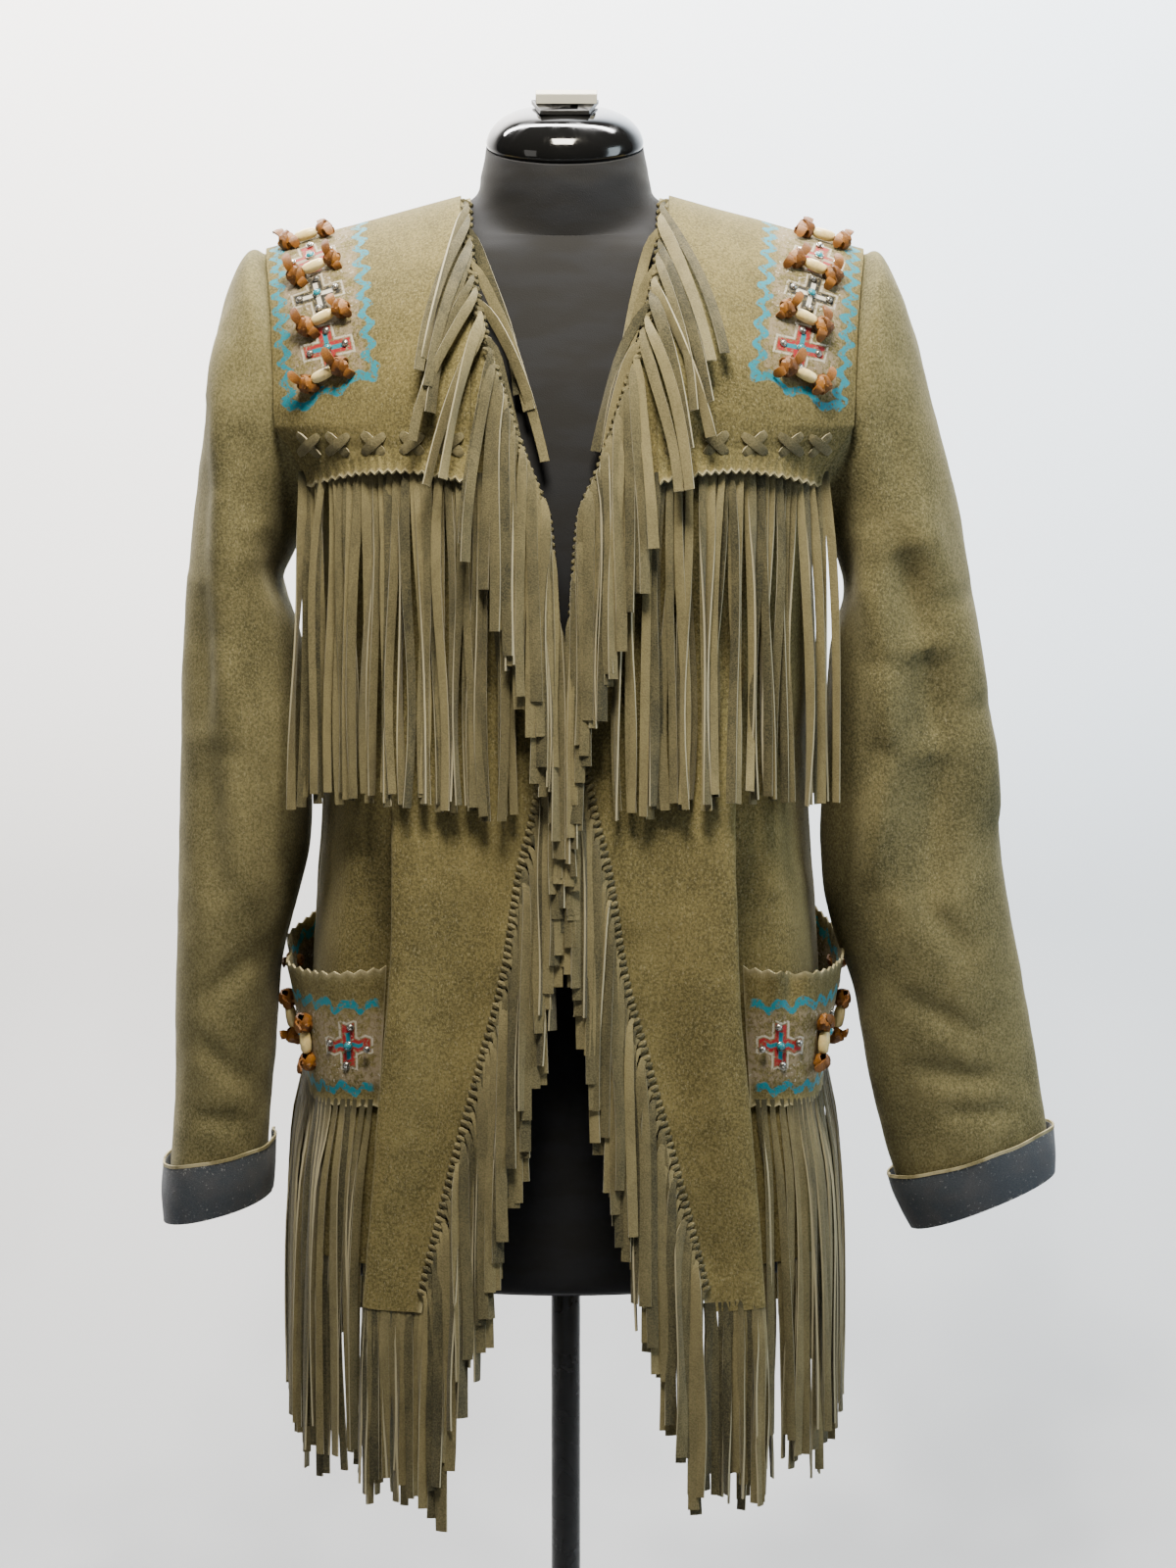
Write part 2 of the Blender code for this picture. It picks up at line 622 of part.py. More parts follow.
def build_yokes():
    columns = (0.0, 0.16, 0.34, 0.52, 0.70, 0.86, 1.0)
    heights = (0.0, 0.5)
    outer, inner = [], []
    places = []
    for h in heights:
        z = YOKE_LOW_Z + (CHEST_Z - YOKE_LOW_Z) * h
        outermost = body_point(armhole_along(z, -1), z).x - YOKE_OUT_GAP
        places.append([(YOKE_IN_X + (outermost - YOKE_IN_X) * c, z) for c in columns])
    for angle in (0, *CAP_ANGLES):
        row = []
        for c in columns:
            z = CHEST_Z
            for _ in range(12):
                inside = max(YOKE_IN_X, edge_x(z) + YOKE_IN_GAP)
                outermost = curve(ARMHOLE, "x", z, ARMHOLE_COLUMNS) - YOKE_OUT_GAP
                x = inside + (outermost - inside) * c
                rise = power(math.sin(math.radians(angle)), 2 / SHOULDER_POWER)
                z = CHEST_Z + (shoulder_z(x) - CHEST_Z) * rise
            row.append((x, min(z, shoulder_z(x))))
        places.append(row)
    for row in places:
        pairs = [(chest_point(x, z, -1), cap_normal(x, z, -1)) for x, z in row]
        inner.append([p + n * yoke_lift(n) for p, n in pairs])
        outer.append([p + n * (yoke_lift(n) + OVERLAY) for p, n in pairs])
    for grid in (outer, inner):
        shift(grid, [(len(grid) - 1, i) for i in range(len(columns))], Vector((0, -SEAM_GAP / 2, 0)))
    for side in ("left", "right"):
        wall(f"yoke_{side}", mirror(outer, side), mirror(inner, side), suede())


def yoke_lift(normal):
    """Gap under the yoke, more where the chest rounds over and its facets stand proud."""
    return LAY_GAP + 0.0006 * abs(normal.y) + 0.0004


def pocket_edges(along):
    return (
        curve(POCKET, "bottom_z", along, POCKET_COLUMNS),
        curve(POCKET, "mouth_z", along, POCKET_COLUMNS),
    )


def pocket_bulge(along, height):
    """How far the pocket stands off the body: nothing at its sewn edges, most at its mouth."""
    share = (along - POCKET_FROM) / (POCKET_TO - POCKET_FROM)
    return POCKET_BULGE * math.sin(math.pi * share) ** 0.8 * height**1.2


def pocket_place(along, height):
    """Point and outward direction on a pocket's inner face."""
    low, high = pocket_edges(along)
    z = low + (high - low) * height
    n = body_normal(along, z)
    return body_point(along, z) + n * (POCKET_LIFT + pocket_bulge(along, height)), n


def build_pockets():
    columns = [POCKET_FROM + (POCKET_TO - POCKET_FROM) * i / 10 for i in range(11)]
    heights = (0.0, 0.25, 0.5, 0.75, 1.0)
    pairs = [[pocket_place(c, h) for c in columns] for h in heights]
    inner = offset(pairs, 0.0)
    outer = offset(pairs, OVERLAY)
    for side in ("left", "right"):
        wall(f"pocket_{side}", mirror(outer, side), mirror(inner, side), suede())


def comb(name, teeth, side):
    """A fringe: a strip with a cut strand for each tooth. A tooth is a list of (left, right) pairs from the strip down.

    The strip is the first two pairs of every tooth, joined to those of the next tooth.
    """
    bm = bmesh.new()
    made = [[[bm.verts.new(p) for p in pair] for pair in mirror(tooth, side)] for tooth in teeth]
    for k, tooth in enumerate(made):
        for upper, lower in zip(tooth, tooth[1:]):
            bm.faces.new((upper[0], upper[1], lower[1], lower[0]))
        if k + 1 < len(made):
            after = made[k + 1]
            bm.faces.new((tooth[0][1], after[0][0], after[1][0], tooth[1][1]))
    obj = place(name, bm, fringe_suede(), smooth=False)
    solid = obj.modifiers.new("thickness", "SOLIDIFY")
    solid.thickness = THONG
    solid.offset = 0.0
    return obj


def sway(index, depth, amount):
    """Small, repeatable wander of a strand's lower end that never crosses its neighbour."""
    return amount * depth * (math.sin(index * 0.9) + 0.6 * math.sin(index * 0.37 + 1.3))


def build_chest_fringes():
    pitch = (CHEST_FRINGE_OUT_X - CHEST_FRINGE_IN_X) / CHEST_STRANDS
    half = pitch * 0.36
    top = YOKE_LOW_Z - HANG_GAP
    drops = (0.0, STRIP_HEIGHT, 0.100, CHEST_FRINGE_LENGTH)
    teeth = []
    for k in range(CHEST_STRANDS):
        middle = CHEST_FRINGE_IN_X + pitch * (k + 0.5)
        tooth = []
        for drop in drops:
            z = top - drop
            depth = drop / CHEST_FRINGE_LENGTH
            x = middle + sway(k, depth, 0.0008)
            reach = 0.0013 + 0.0035 * ease(0.02, 0.07, drop) + 0.0020 * ease(0.120, 0.155, middle)
            pair = []
            for end in (x - half, x + half):
                out = reach / -chest_normal(end, top, -1).y
                y = min(chest_point(end, top, -1).y, front_most(end, z)) - out
                pair.append(Vector((end, y, z)))
            tooth.append(pair)
        teeth.append(tooth)
    for side in ("left", "right"):
        comb(f"chest_fringe_{side}", teeth, side)


def edge_y(z):
    """Depth of the outer face at the front edge."""
    if z >= FOLD_TOP_Z:
        return chest_point(edge_x(z), z, -1).y
    return body_point(0.0, z).y


def edge_fronts():
    """The foremost depth that the edge strands pass at each of their levels."""
    fronts = []
    for level in EDGE_LEVELS:
        z = max(level, HEM[0][1])
        passing = [edge_x(z + EDGE_STRAND_LENGTH * k / 4) for k in range(5)]
        fronts.append(min(front_most(x, z) for x in passing))
    return fronts


def edge_front(z, fronts):
    """Between the levels the foremost depth runs straight."""
    i = max(j for j in range(len(EDGE_LEVELS) - 1) if EDGE_LEVELS[j] <= z + 1e-9)
    t = (z - EDGE_LEVELS[i]) / (EDGE_LEVELS[i + 1] - EDGE_LEVELS[i])
    return fronts[i] * (1 - t) + fronts[i + 1] * t


def edge_teeth(z_top, z_low, fronts):
    """Strands of one strip of a front edge. They leave the edge sideways, then hang."""
    pitch = (z_top - z_low) / EDGE_STRANDS
    teeth = []
    for k in range(EDGE_STRANDS):
        z = z_top - pitch * (k + 0.5)
        tooth = []
        for inward in EDGE_STRIP:
            tooth.append([
                Vector((edge_x(z + up) + inward, edge_y(z + up) - EDGE_STRIP_OFF, z + up))
                for up in (EDGE_HALF_ROOT, -EDGE_HALF_ROOT)
            ])
        first, last = z - EDGE_FIRST_DROP, z - EDGE_STRAND_LENGTH
        x = max(min(edge_x(z), edge_x(first)) - EDGE_LAP, EDGE_LEAST_X)
        between = [level for level in reversed(EDGE_LEVELS) if last + 0.002 < level < first - 0.002]
        for level in (first, *between, last):
            y = edge_front(level, fronts) - EDGE_OUT - EDGE_STRAND_SLOPE * (z - level)
            tooth.append([Vector((x - EDGE_HALF_WIDTH, y, level)), Vector((x + EDGE_HALF_WIDTH, y, level))])
        teeth.append(tooth)
    return teeth


def build_edge_fringes():
    fronts = edge_fronts()
    for side in ("left", "right"):
        comb(f"edge_fringe_upper_{side}", edge_teeth(EDGE_TOP_Z, EDGE_WAIST_Z, fronts), side)
        comb(f"edge_fringe_lower_{side}", edge_teeth(EDGE_WAIST_Z, EDGE_LOW_Z, fronts), side)


def hanging_teeth(start, stop, count, root, lengths, clear):
    """Strands along the section from start to stop. root gives each one's top and its gap to the body there."""
    pitch = (stop - start) / count
    teeth = []
    for k in range(count):
        middle = start + pitch * (k + 0.5)
        tooth = []
        for drop in lengths:
            depth = drop / lengths[-1]
            pair = []
            for end in (middle - pitch * 0.34, middle + pitch * 0.34):
                place_along = end + sway(k, depth, pitch * 0.10)
                top = root(end)
                z = top - drop
                level = max(z, hem_z(place_along))
                gap = 0.0014 + clear * ease(0.0, 0.05, drop - STRIP_HEIGHT)
                p = body_point(place_along, level) + body_normal(place_along, level) * gap
                pair.append(Vector((p.x, p.y, z)))
            tooth.append(pair)
        teeth.append(tooth)
    return teeth


def build_pocket_fringes():
    def root(along):
        return pocket_edges(along)[0] - HANG_GAP

    lengths = (0.0, STRIP_HEIGHT, 0.060, 0.120, POCKET_FRINGE_LENGTH)
    teeth = hanging_teeth(POCKET_FROM + 0.01, POCKET_TO - 0.01, POCKET_STRANDS, root, lengths, 0.0040)
    for side in ("left", "right"):
        comb(f"pocket_fringe_{side}", teeth, side)


def hem_teeth(start, stop, count, length):
    """Strands cut below the hem, in line with the cloth."""
    pitch = (stop - start) / count
    teeth = []
    for k in range(count):
        middle = start + pitch * (k + 0.5)
        tooth = []
        for drop in (0.0, STRIP_HEIGHT, length / 2, length):
            pair = []
            for end in (middle - pitch * 0.34, middle + pitch * 0.34):
                place_along = min(max(end + sway(k, drop / length, pitch * 0.10), 0.0), 2.0)
                z = hem_z(end)
                p = body_point(place_along, z) - body_normal(place_along, z) * SUEDE / 2
                pair.append(Vector((p.x, p.y, z - HANG_GAP - drop)))
            tooth.append(pair)
        teeth.append(tooth)
    return teeth


def build_hem_fringes():
    front = hem_teeth(0.01, 0.41, HEM_FRONT_STRANDS, HEM_FRONT_LENGTH)
    side_part = hem_teeth(0.56, 0.99, HEM_SIDE_STRANDS, HEM_SIDE_LENGTH)
    for side in ("left", "right"):
        comb(f"hem_fringe_front_{side}", front, side)
        comb(f"hem_fringe_side_{side}", side_part, side)
    half = hem_teeth(1.01, 2.0, HEM_BACK_STRANDS // 2, HEM_BACK_LENGTH)
    other = [[[Vector((-b.x, b.y, b.z)), Vector((-a.x, a.y, a.z))] for a, b in tooth] for tooth in reversed(half)]
    comb("hem_fringe_back", half + other, "left")


def turned(name, profile, sides, finish, place_matrix):
    """A closed turned shape along local X from (place, radius) pairs."""
    bm = bmesh.new()
    rings = []
    for at, radius in profile:
        ring = []
        for k in range(sides):
            a = 2 * math.pi * k / sides
            ring.append(bm.verts.new(place_matrix @ Vector((at, radius * math.cos(a), radius * math.sin(a)))))
        rings.append(ring)
    for lower, upper in zip(rings, rings[1:]):
        for k in range(sides):
            m = (k + 1) % sides
            bm.faces.new((lower[k], lower[m], upper[m], upper[k]))
    bm.faces.new(rings[0])
    bm.faces.new(rings[-1])
    return place(name, bm, finish)


def turned_flat(point, normal, axis):
    """A frame at a point: local X along the axis in the surface, local Z along the normal."""
    axis = (axis - normal * axis.dot(normal)).normalized()
    across = normal.cross(axis)
    frame = Matrix((axis, across, normal)).transposed().to_4x4()
    frame.translation = point
    return frame


def mirrored(frame, side):
    return frame if side == "left" else Matrix.Scale(-1, 4, (1, 0, 0)) @ frame


def build_toggles():
    bone = material("bone_bead", (0.78, 0.66, 0.42, 1.0), 0.35)
    for side in ("left", "right"):
        for k, (x, z, tilt) in enumerate(SHOULDER_TOGGLES, 1):
            n = chest_normal(x, z, -1)
            lift = yoke_lift(n) + OVERLAY + LAY_GAP + BEAD_RADIUS * TOGGLE_FLAT
            axis = Vector((math.cos(math.radians(tilt)), 0, math.sin(math.radians(tilt))))
            frame = turned_flat(chest_point(x, z, -1) + n * lift, n, axis)
            turned(f"shoulder_toggle_{side}_{k}", TOGGLE_PROFILE, TOGGLE_SIDES, bone, mirrored(frame, side))
        for k, (along, height) in enumerate(POCKET_TOGGLES, 1):
            p, n = pocket_place(along, height)
            higher, _ = pocket_place(along, min(height + 0.2, 1.0))
            lower, _ = pocket_place(along, height - 0.2)
            axis = (higher - lower).normalized()
            across = axis.cross(n).normalized()
            n = across.cross(axis).normalized()
            lift = OVERLAY + LAY_GAP + KNOT_RADIUS * TOGGLE_FLAT + 0.0003
            frame = turned_flat(p + n * lift, n, axis)
            turned(f"pocket_toggle_{side}_{k}", TOGGLE_PROFILE, TOGGLE_SIDES, bone, mirrored(frame, side))


def build_lacing():
    """Flat crosses of thong along the yoke's lower edge."""
    wide, high = LACING_SPAN
    lean = math.atan2(high, wide)
    half = LACING_STRAP / 2
    notch_x, notch_y = half / math.sin(lean), half / math.cos(lean)
    along = Vector((math.cos(lean), math.sin(lean))) * math.hypot(wide, high) / 2
    across = Vector((-math.sin(lean), math.cos(lean))) * half
    quarter = [Vector((notch_x, 0)), along - across, along + across, Vector((0, notch_y))]
    outline = []
    for sx, sy in ((1, 1), (-1, 1), (-1, -1), (1, -1)):
        part = [Vector((p.x * sx, p.y * sy)) for p in quarter]
        outline += part[:-1] if sx * sy > 0 else list(reversed(part))[:-1]
    for side in ("left", "right"):
        for k, x in enumerate(LACING_X, 1):
            n = chest_normal(x, LACING_Z, -1)
            lift = yoke_lift(n) + OVERLAY + LAY_GAP + 0.0003
            frame = turned_flat(chest_point(x, LACING_Z, -1) + n * lift, n, Vector((1, 0, 0)))
            frame = mirrored(frame, side)
            bm = bmesh.new()
            for level in (0.0, THONG * 1.3):
                bm.faces.new([bm.verts.new(frame @ Vector((p.x, p.y, level))) for p in outline])
            bm.verts.ensure_lookup_table()
            n_out = len(outline)
            for i in range(n_out):
                m = (i + 1) % n_out
                bm.faces.new([bm.verts[q] for q in (i, m, m + n_out, i + n_out)])
            place(f"lacing_{side}_{k}", bm, suede(), smooth=False)


def under_shoulder(x, y):
    """Height of the form under the cloth of the shoulders."""
    face = -1 if y < 0 else 1
    full = chest_point(abs(x), CHEST_Z, face).y * face
    rise = (1 - (abs(y) / full) ** SHOULDER_POWER) ** (1 / SHOULDER_POWER)
    z = CHEST_Z + (shoulder_z(x) - CHEST_Z) * rise
    gap = SUEDE + FORM_SHOULDER_GAP + FORM_SLACK * abs(y)
    return z - gap / cap_normal(abs(x), z, face).z


def form_rings():
    """Rings of the dress form from its base to the top of its neck."""
    rings = [("level", *row) for row in FORM]
    rings += [("shoulder", 0.0, *row, 0.0) for row in FORM_SHOULDERS]
    rings += [("level", *row) for row in NECK_RINGS]
    return rings


def build_form():
    bm = bmesh.new()
    rings = []
    for kind, z, half, front, back, tilt in form_rings():
        ring = []
        for k in range(FORM_SIDES):
            a = 2 * math.pi * k / FORM_SIDES
            x = half * math.cos(a)
            y = math.sin(a)
            y *= back if y > 0 else front
            high = under_shoulder(x, y) if kind == "shoulder" else z + tilt * y
            ring.append(bm.verts.new((x, y, high)))
        rings.append(ring)
    for lower, upper in zip(rings, rings[1:]):
        for k in range(FORM_SIDES):
            m = (k + 1) % FORM_SIDES
            bm.faces.new((lower[k], lower[m], upper[m], upper[k]))
    bm.faces.new(rings[0])
    bm.faces.new(rings[-1])
    jersey = material("black_jersey", (0.012, 0.012, 0.015, 1.0), 0.8)
    place("form_torso", bm, jersey)


def tilted(z):
    """The frame of the neck's top, leaning forward."""
    return Matrix.Translation((0, 0, z)) @ Matrix.Rotation(math.atan(CAP_TILT), 4, "X")


def build_neck_cap():
    gloss = material("gloss_black", (0.006, 0.005, 0.005, 1.0), 0.08)
    top = NECK_RINGS[-1][0] + 0.0004
    profile = [(0.0, CAP_REACH * 0.985)]
    for k in range(6):
        a = math.radians(8 + 74 * k / 5)
        profile.append((CAP_RISE * math.sin(a), CAP_REACH * math.cos(a) ** 0.62))
    turned("neck_cap", profile, 20, gloss, tilted(top) @ Matrix.Rotation(-math.pi / 2, 4, "Y"))
    plate_black = material("satin_black", (0.02, 0.018, 0.018, 1.0), 0.4)
    cream = material("cream_plastic", (0.75, 0.72, 0.60, 1.0), 0.5)
    seat = CAP_RISE * math.sin(math.radians(82)) + 0.0004
    block("neck_plate", (0.044, 0.034, 0.003), (0, 0, seat + 0.0015), tilted(top), plate_black)
    block("neck_block", (0.040, 0.013, 0.007), (0.001, 0.006, seat + 0.003 + 0.0004 + 0.0035), tilted(top), cream)


def block(name, size, middle, frame, finish):
    bm = bmesh.new()
    bmesh.ops.create_cube(bm, size=1.0)
    bmesh.ops.transform(bm, matrix=frame @ Matrix.Translation(middle) @ Matrix.Diagonal((*size, 1)), verts=bm.verts)
    place(name, bm, finish, smooth=False)


def build_stand():
    steel = material("black_steel", (0.02, 0.02, 0.022, 1.0), 0.35, 0.6)
    upright = Matrix.Rotation(-math.pi / 2, 4, "Y")
    disc = [
        (0.0, BASE_RADIUS), (BASE_THICKNESS - BASE_EDGE, BASE_RADIUS), (BASE_THICKNESS, BASE_RADIUS - BASE_EDGE),
    ]
    turned("stand_base", disc, 32, steel, upright)
    hub = [(BASE_THICKNESS + SEAM_GAP, HUB_RADIUS), (HUB_TOP, HUB_RADIUS * HUB_TAPER)]
    turned("stand_hub", hub, 24, steel, upright)
    pole = [(HUB_TOP + SEAM_GAP, POLE_RADIUS), (FORM[0][0] - SEAM_GAP, POLE_RADIUS)]
    turned("stand_pole", pole, 16, steel, upright)


def main():
    for obj in list(bpy.data.objects):
        bpy.data.objects.remove(obj)
    collection = bpy.data.collections.new("fringed_jacket_on_form")
    bpy.context.scene.collection.children.link(collection)
    build_fronts()
    build_back()
    build_sleeves()
    build_yokes()
    build_pockets()
    build_chest_fringes()
    build_edge_fringes()
    build_pocket_fringes()
    build_hem_fringes()
    build_toggles()
    build_lacing()
    build_form()
    build_neck_cap()
    build_stand()


if __name__ == "__main__":
    main()
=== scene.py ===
import functools
import math

import bmesh
import bpy
import numpy as np
from bpy.props import FloatProperty, FloatVectorProperty, IntProperty, PointerProperty
from mathutils import Matrix, Vector, noise


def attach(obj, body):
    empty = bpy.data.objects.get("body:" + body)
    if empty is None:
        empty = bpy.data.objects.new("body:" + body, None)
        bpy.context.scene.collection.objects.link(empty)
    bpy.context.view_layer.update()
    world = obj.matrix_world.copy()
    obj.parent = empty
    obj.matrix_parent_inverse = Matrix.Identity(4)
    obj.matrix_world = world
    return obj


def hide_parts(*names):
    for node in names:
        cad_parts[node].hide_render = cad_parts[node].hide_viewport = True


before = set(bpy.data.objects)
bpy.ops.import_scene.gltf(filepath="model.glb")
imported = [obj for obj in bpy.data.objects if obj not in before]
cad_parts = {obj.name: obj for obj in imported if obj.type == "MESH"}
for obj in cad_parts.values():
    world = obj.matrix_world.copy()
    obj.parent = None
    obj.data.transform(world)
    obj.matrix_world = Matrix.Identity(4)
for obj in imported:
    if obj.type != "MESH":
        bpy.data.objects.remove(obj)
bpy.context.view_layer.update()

bl_info = {
    "name": "Fringed suede jacket",
    "version": (1, 0, 0),
    "blender": (4, 5, 0),
    "location": "3D View > Sidebar > Jacket",
    "description": "Builds a fringed suede jacket on a padded dress form with its stand",
    "category": "Add Mesh",
}

SIDES = ("left", "right")



def metres(table):
    """A table of millimetres in metres, with its rows and keys as they are."""
    if isinstance(table, dict):
        return {key: metres(part) for key, part in table.items()}
    if isinstance(table, tuple):
        return tuple(metres(part) for part in table)
    return table / 1000


# The jacket's pattern, in metres where a table isn't converted. Sizes are for the wearer's left, at +X.
SEAM_GAP = 0.0003
OVERLAY = 0.0018
UNDERARM_Z = 1.235
CHEST_Z = 1.3
FOLD_TOP_Z = 1.17
FOLD_FULL_Z = 1.05
NECK_X = 0.0617
NECK_Z = 1.4475
SHOULDER_FALL = 0.268
BACK_NECK_RISE = 0.006
BACK_NECK_DEPTH = 0.052
NECKLINE_POWER = 2.5
PLAN_POWER = 2.2
SHOULDER_POWER = 1.7

TORSO = (("z", "half_width", "front", "back"), metres((
    (740, 178, 140, 116), (870, 172, 136, 117), (950, 168, 132, 110), (1050, 162, 128, 100),
    (1150, 160, 131, 104), (1235, 163, 132, 110), (1300, 215, 124, 106),
)))
EDGE = (("z", "x"), metres((
    (742, 90.4), (835, 67), (900, 49.5), (956, 35), (1020, 25), (1058, 16), (1100, 9), (1170, 4.5),
    (1200, 6), (1242, 9.5), (1278, 23), (1316, 36), (1360, 49), (1390, 55.8), (1420, 60), (1447.5, 61.7),
)))
ARMHOLE = (("z", "x"), ((1.3, 0.183), (1.36, 0.1865), (1.3905, 0.1905), (1.4118, 0.195)))
FOLD = (("z", "edge_y", "crest_x", "crest_y", "crease_x", "crease_y", "hip_x", "hip_y"), metres((
    (740, -146, 128, -141, 102, -103, 159, -90), (870, -138, 117, -139, 96, -100, 153, -87),
    (950, -134, 109, -136, 92, -100, 147, -83), (1050, -130, 105, -129, 94, -102, 138, -78),
)))
FOLD_KNOTS = np.array((0, 0.42, 0.54, 0.76, 1))
HEM = np.array((
    (0, 0.742), (0.42, 0.745), (0.54, 0.757), (0.77, 0.768), (1, 0.776), (1.18, 0.789), (1.35, 0.806),
    (1.53, 0.828), (1.68, 0.8425), (1.77, 0.8485), (1.88, 0.8535), (2, 0.855),
))
BACK_FOLD_DEPTH = 0.005
BACK_FOLDS = 2.5
SLEEVES = metres({
    "right": (
        (207.5, 1410.5, 172, 1227, 70, 0), (223.5, 1375, 179, 1213, 70, -2), (237, 1308, 184, 1193, 69, -4),
        (247, 1220, 174, 1160, 67, -6), (253, 1130, 169, 1090, 64, -8), (255, 1040, 170, 1020, 60, -10),
        (256, 950, 188, 945, 55, -10), (258, 870, 195, 874, 51, -10), (263.5, 811, 197.5, 828, 48, -10),
        (265.5, 773, 198.5, 792, 46, -10),
    ),
    "left": (
        (207.5, 1409, 172, 1227, 70, 0), (226, 1370, 179, 1211, 69, -2), (243.5, 1305, 184, 1189, 66, -4),
        (261, 1220, 175, 1150, 62, -6), (276, 1130, 171, 1075, 57, -8), (286, 1040, 172, 995, 51, -10),
        (297, 960, 193, 925, 46, -10), (311, 885, 204, 862, 40, -10), (320, 835, 219, 803, 37, -10),
        (324, 805, 233, 768, 35, -10),
    ),
})
CUFF_CLEAR = 0.0008
CUFF_FLARE = 0.0022
YOKE_LOW_Z = 1.2665
UNDER_YOKE_Z = 1.262
YOKE_IN_X = 0.058
YOKE_IN_GAP = 0.0055
YOKE_OUT_GAP = 0.001
POCKET_FROM = 0.64
POCKET_TO = 1.16
POCKET_BULGE = 0.017
POCKET_LIFT = 0.0009
POCKET = (("along", "bottom_z", "mouth_z"), (
    (0.64, 0.866, 0.954), (0.8, 0.866, 0.948), (0.95, 0.876, 0.952), (1.16, 0.905, 0.978),
))
SHOULDER_TOGGLES = ((0.166, 1.4165, -17), (0.158, 1.3965, -20), (0.15, 1.365, -19), (0.149, 1.33, -19))
SHOULDER_CROSSES = ((0.1625, 1.406, -10), (0.156, 1.382, -8), (0.148, 1.3475, -6))
POCKET_CROSSES = ((0.704, 0.45, 4), (0.861, 0.47, -5), (0.991, 0.51, -8))
POCKET_TOGGLES = ((0.796, 0.46), (0.926, 0.5), (1.056, 0.55))
LACING_Z = 1.2865
LACING_X = (0.07, 0.094, 0.118, 0.141, 0.16)
FORM = metres((
    (741, 150, 98, 86), (750, 157, 104, 92), (800, 160, 108, 96), (870, 156, 108, 98), (950, 143, 98, 90),
    (1040, 122, 90, 78), (1120, 130, 98, 82), (1200, 145, 108, 90), (1270, 154, 104, 92),
    (1330, 163, 92, 88), (1375, 170, 76, 78),
))
FORM_SHOULDERS = ((0.171, 0.06, 0.064), (0.145, 0.053, 0.056), (0.105, 0.05, 0.052), (0.06, 0.049, 0.048))
FORM_SLACK = 0.13
NECK_RINGS = ((1.457, 0.056, 0.053, 0.048, 0.12), (1.48, 0.051, 0.052, 0.049, 0.29))
CAP_TILT = 0.29
CAP_REACH = 0.0515
CAP_RISE = 0.024
POLE_RADIUS = 0.0098
BASE_RADIUS = 0.17
BASE_THICKNESS = 0.01
HUB_RADIUS = 0.024
HUB_TAPER = 0.7
HUB_TOP = 0.04

# Creases placed one by one: x and z of both ends, width and depth. A ridge has a negative depth.
FRONT_CREASES = metres({
    "left": (
        (172, 1262, 120, 1225, 12, 2.2), (168, 1240, 112, 1160, 14, 2.4), (60, 1180, 90, 1080, 20, 1.8),
        (52, 990, 80, 860, 18, 2), (35, 1050, 50, 930, 12, -1.4), (92, 930, 104, 800, 12, -1.6),
        (150, 1120, 146, 1000, 10, 2.2), (135, 1080, 131, 985, 8, -1.4), (70, 820, 98, 762, 12, 1.4),
    ),
    "right": (
        (170, 1266, 116, 1232, 11, 2), (166, 1236, 120, 1150, 15, 2.6), (50, 1190, 78, 1100, 18, 1.6),
        (60, 1010, 74, 880, 20, 2.2), (40, 980, 62, 860, 12, -1.4), (100, 960, 112, 840, 11, -1.4),
        (148, 1130, 150, 1010, 9, 2), (134, 1060, 137, 975, 8, -1.2), (86, 830, 112, 770, 10, 1.4),
    ),
})
BACK_CREASES = metres((
    (172, 1270, 110, 1200, 14, 2.6), (-170, 1268, -118, 1205, 12, 2.4), (160, 1220, 80, 1130, 16, 2.4),
    (-162, 1212, -90, 1120, 17, 2.6), (120, 1330, 40, 1345, 16, 1.6), (-125, 1335, -30, 1350, 15, 1.6),
    (150, 1090, 60, 1060, 13, 2.2), (-150, 1080, -50, 1055, 14, 2.2), (30, 1110, -40, 1092, 12, 1.6),
    (20, 1040, 35, 900, 16, -1.6), (-70, 1020, -85, 880, 16, 1.8), (110, 1000, 125, 880, 14, 1.6),
))
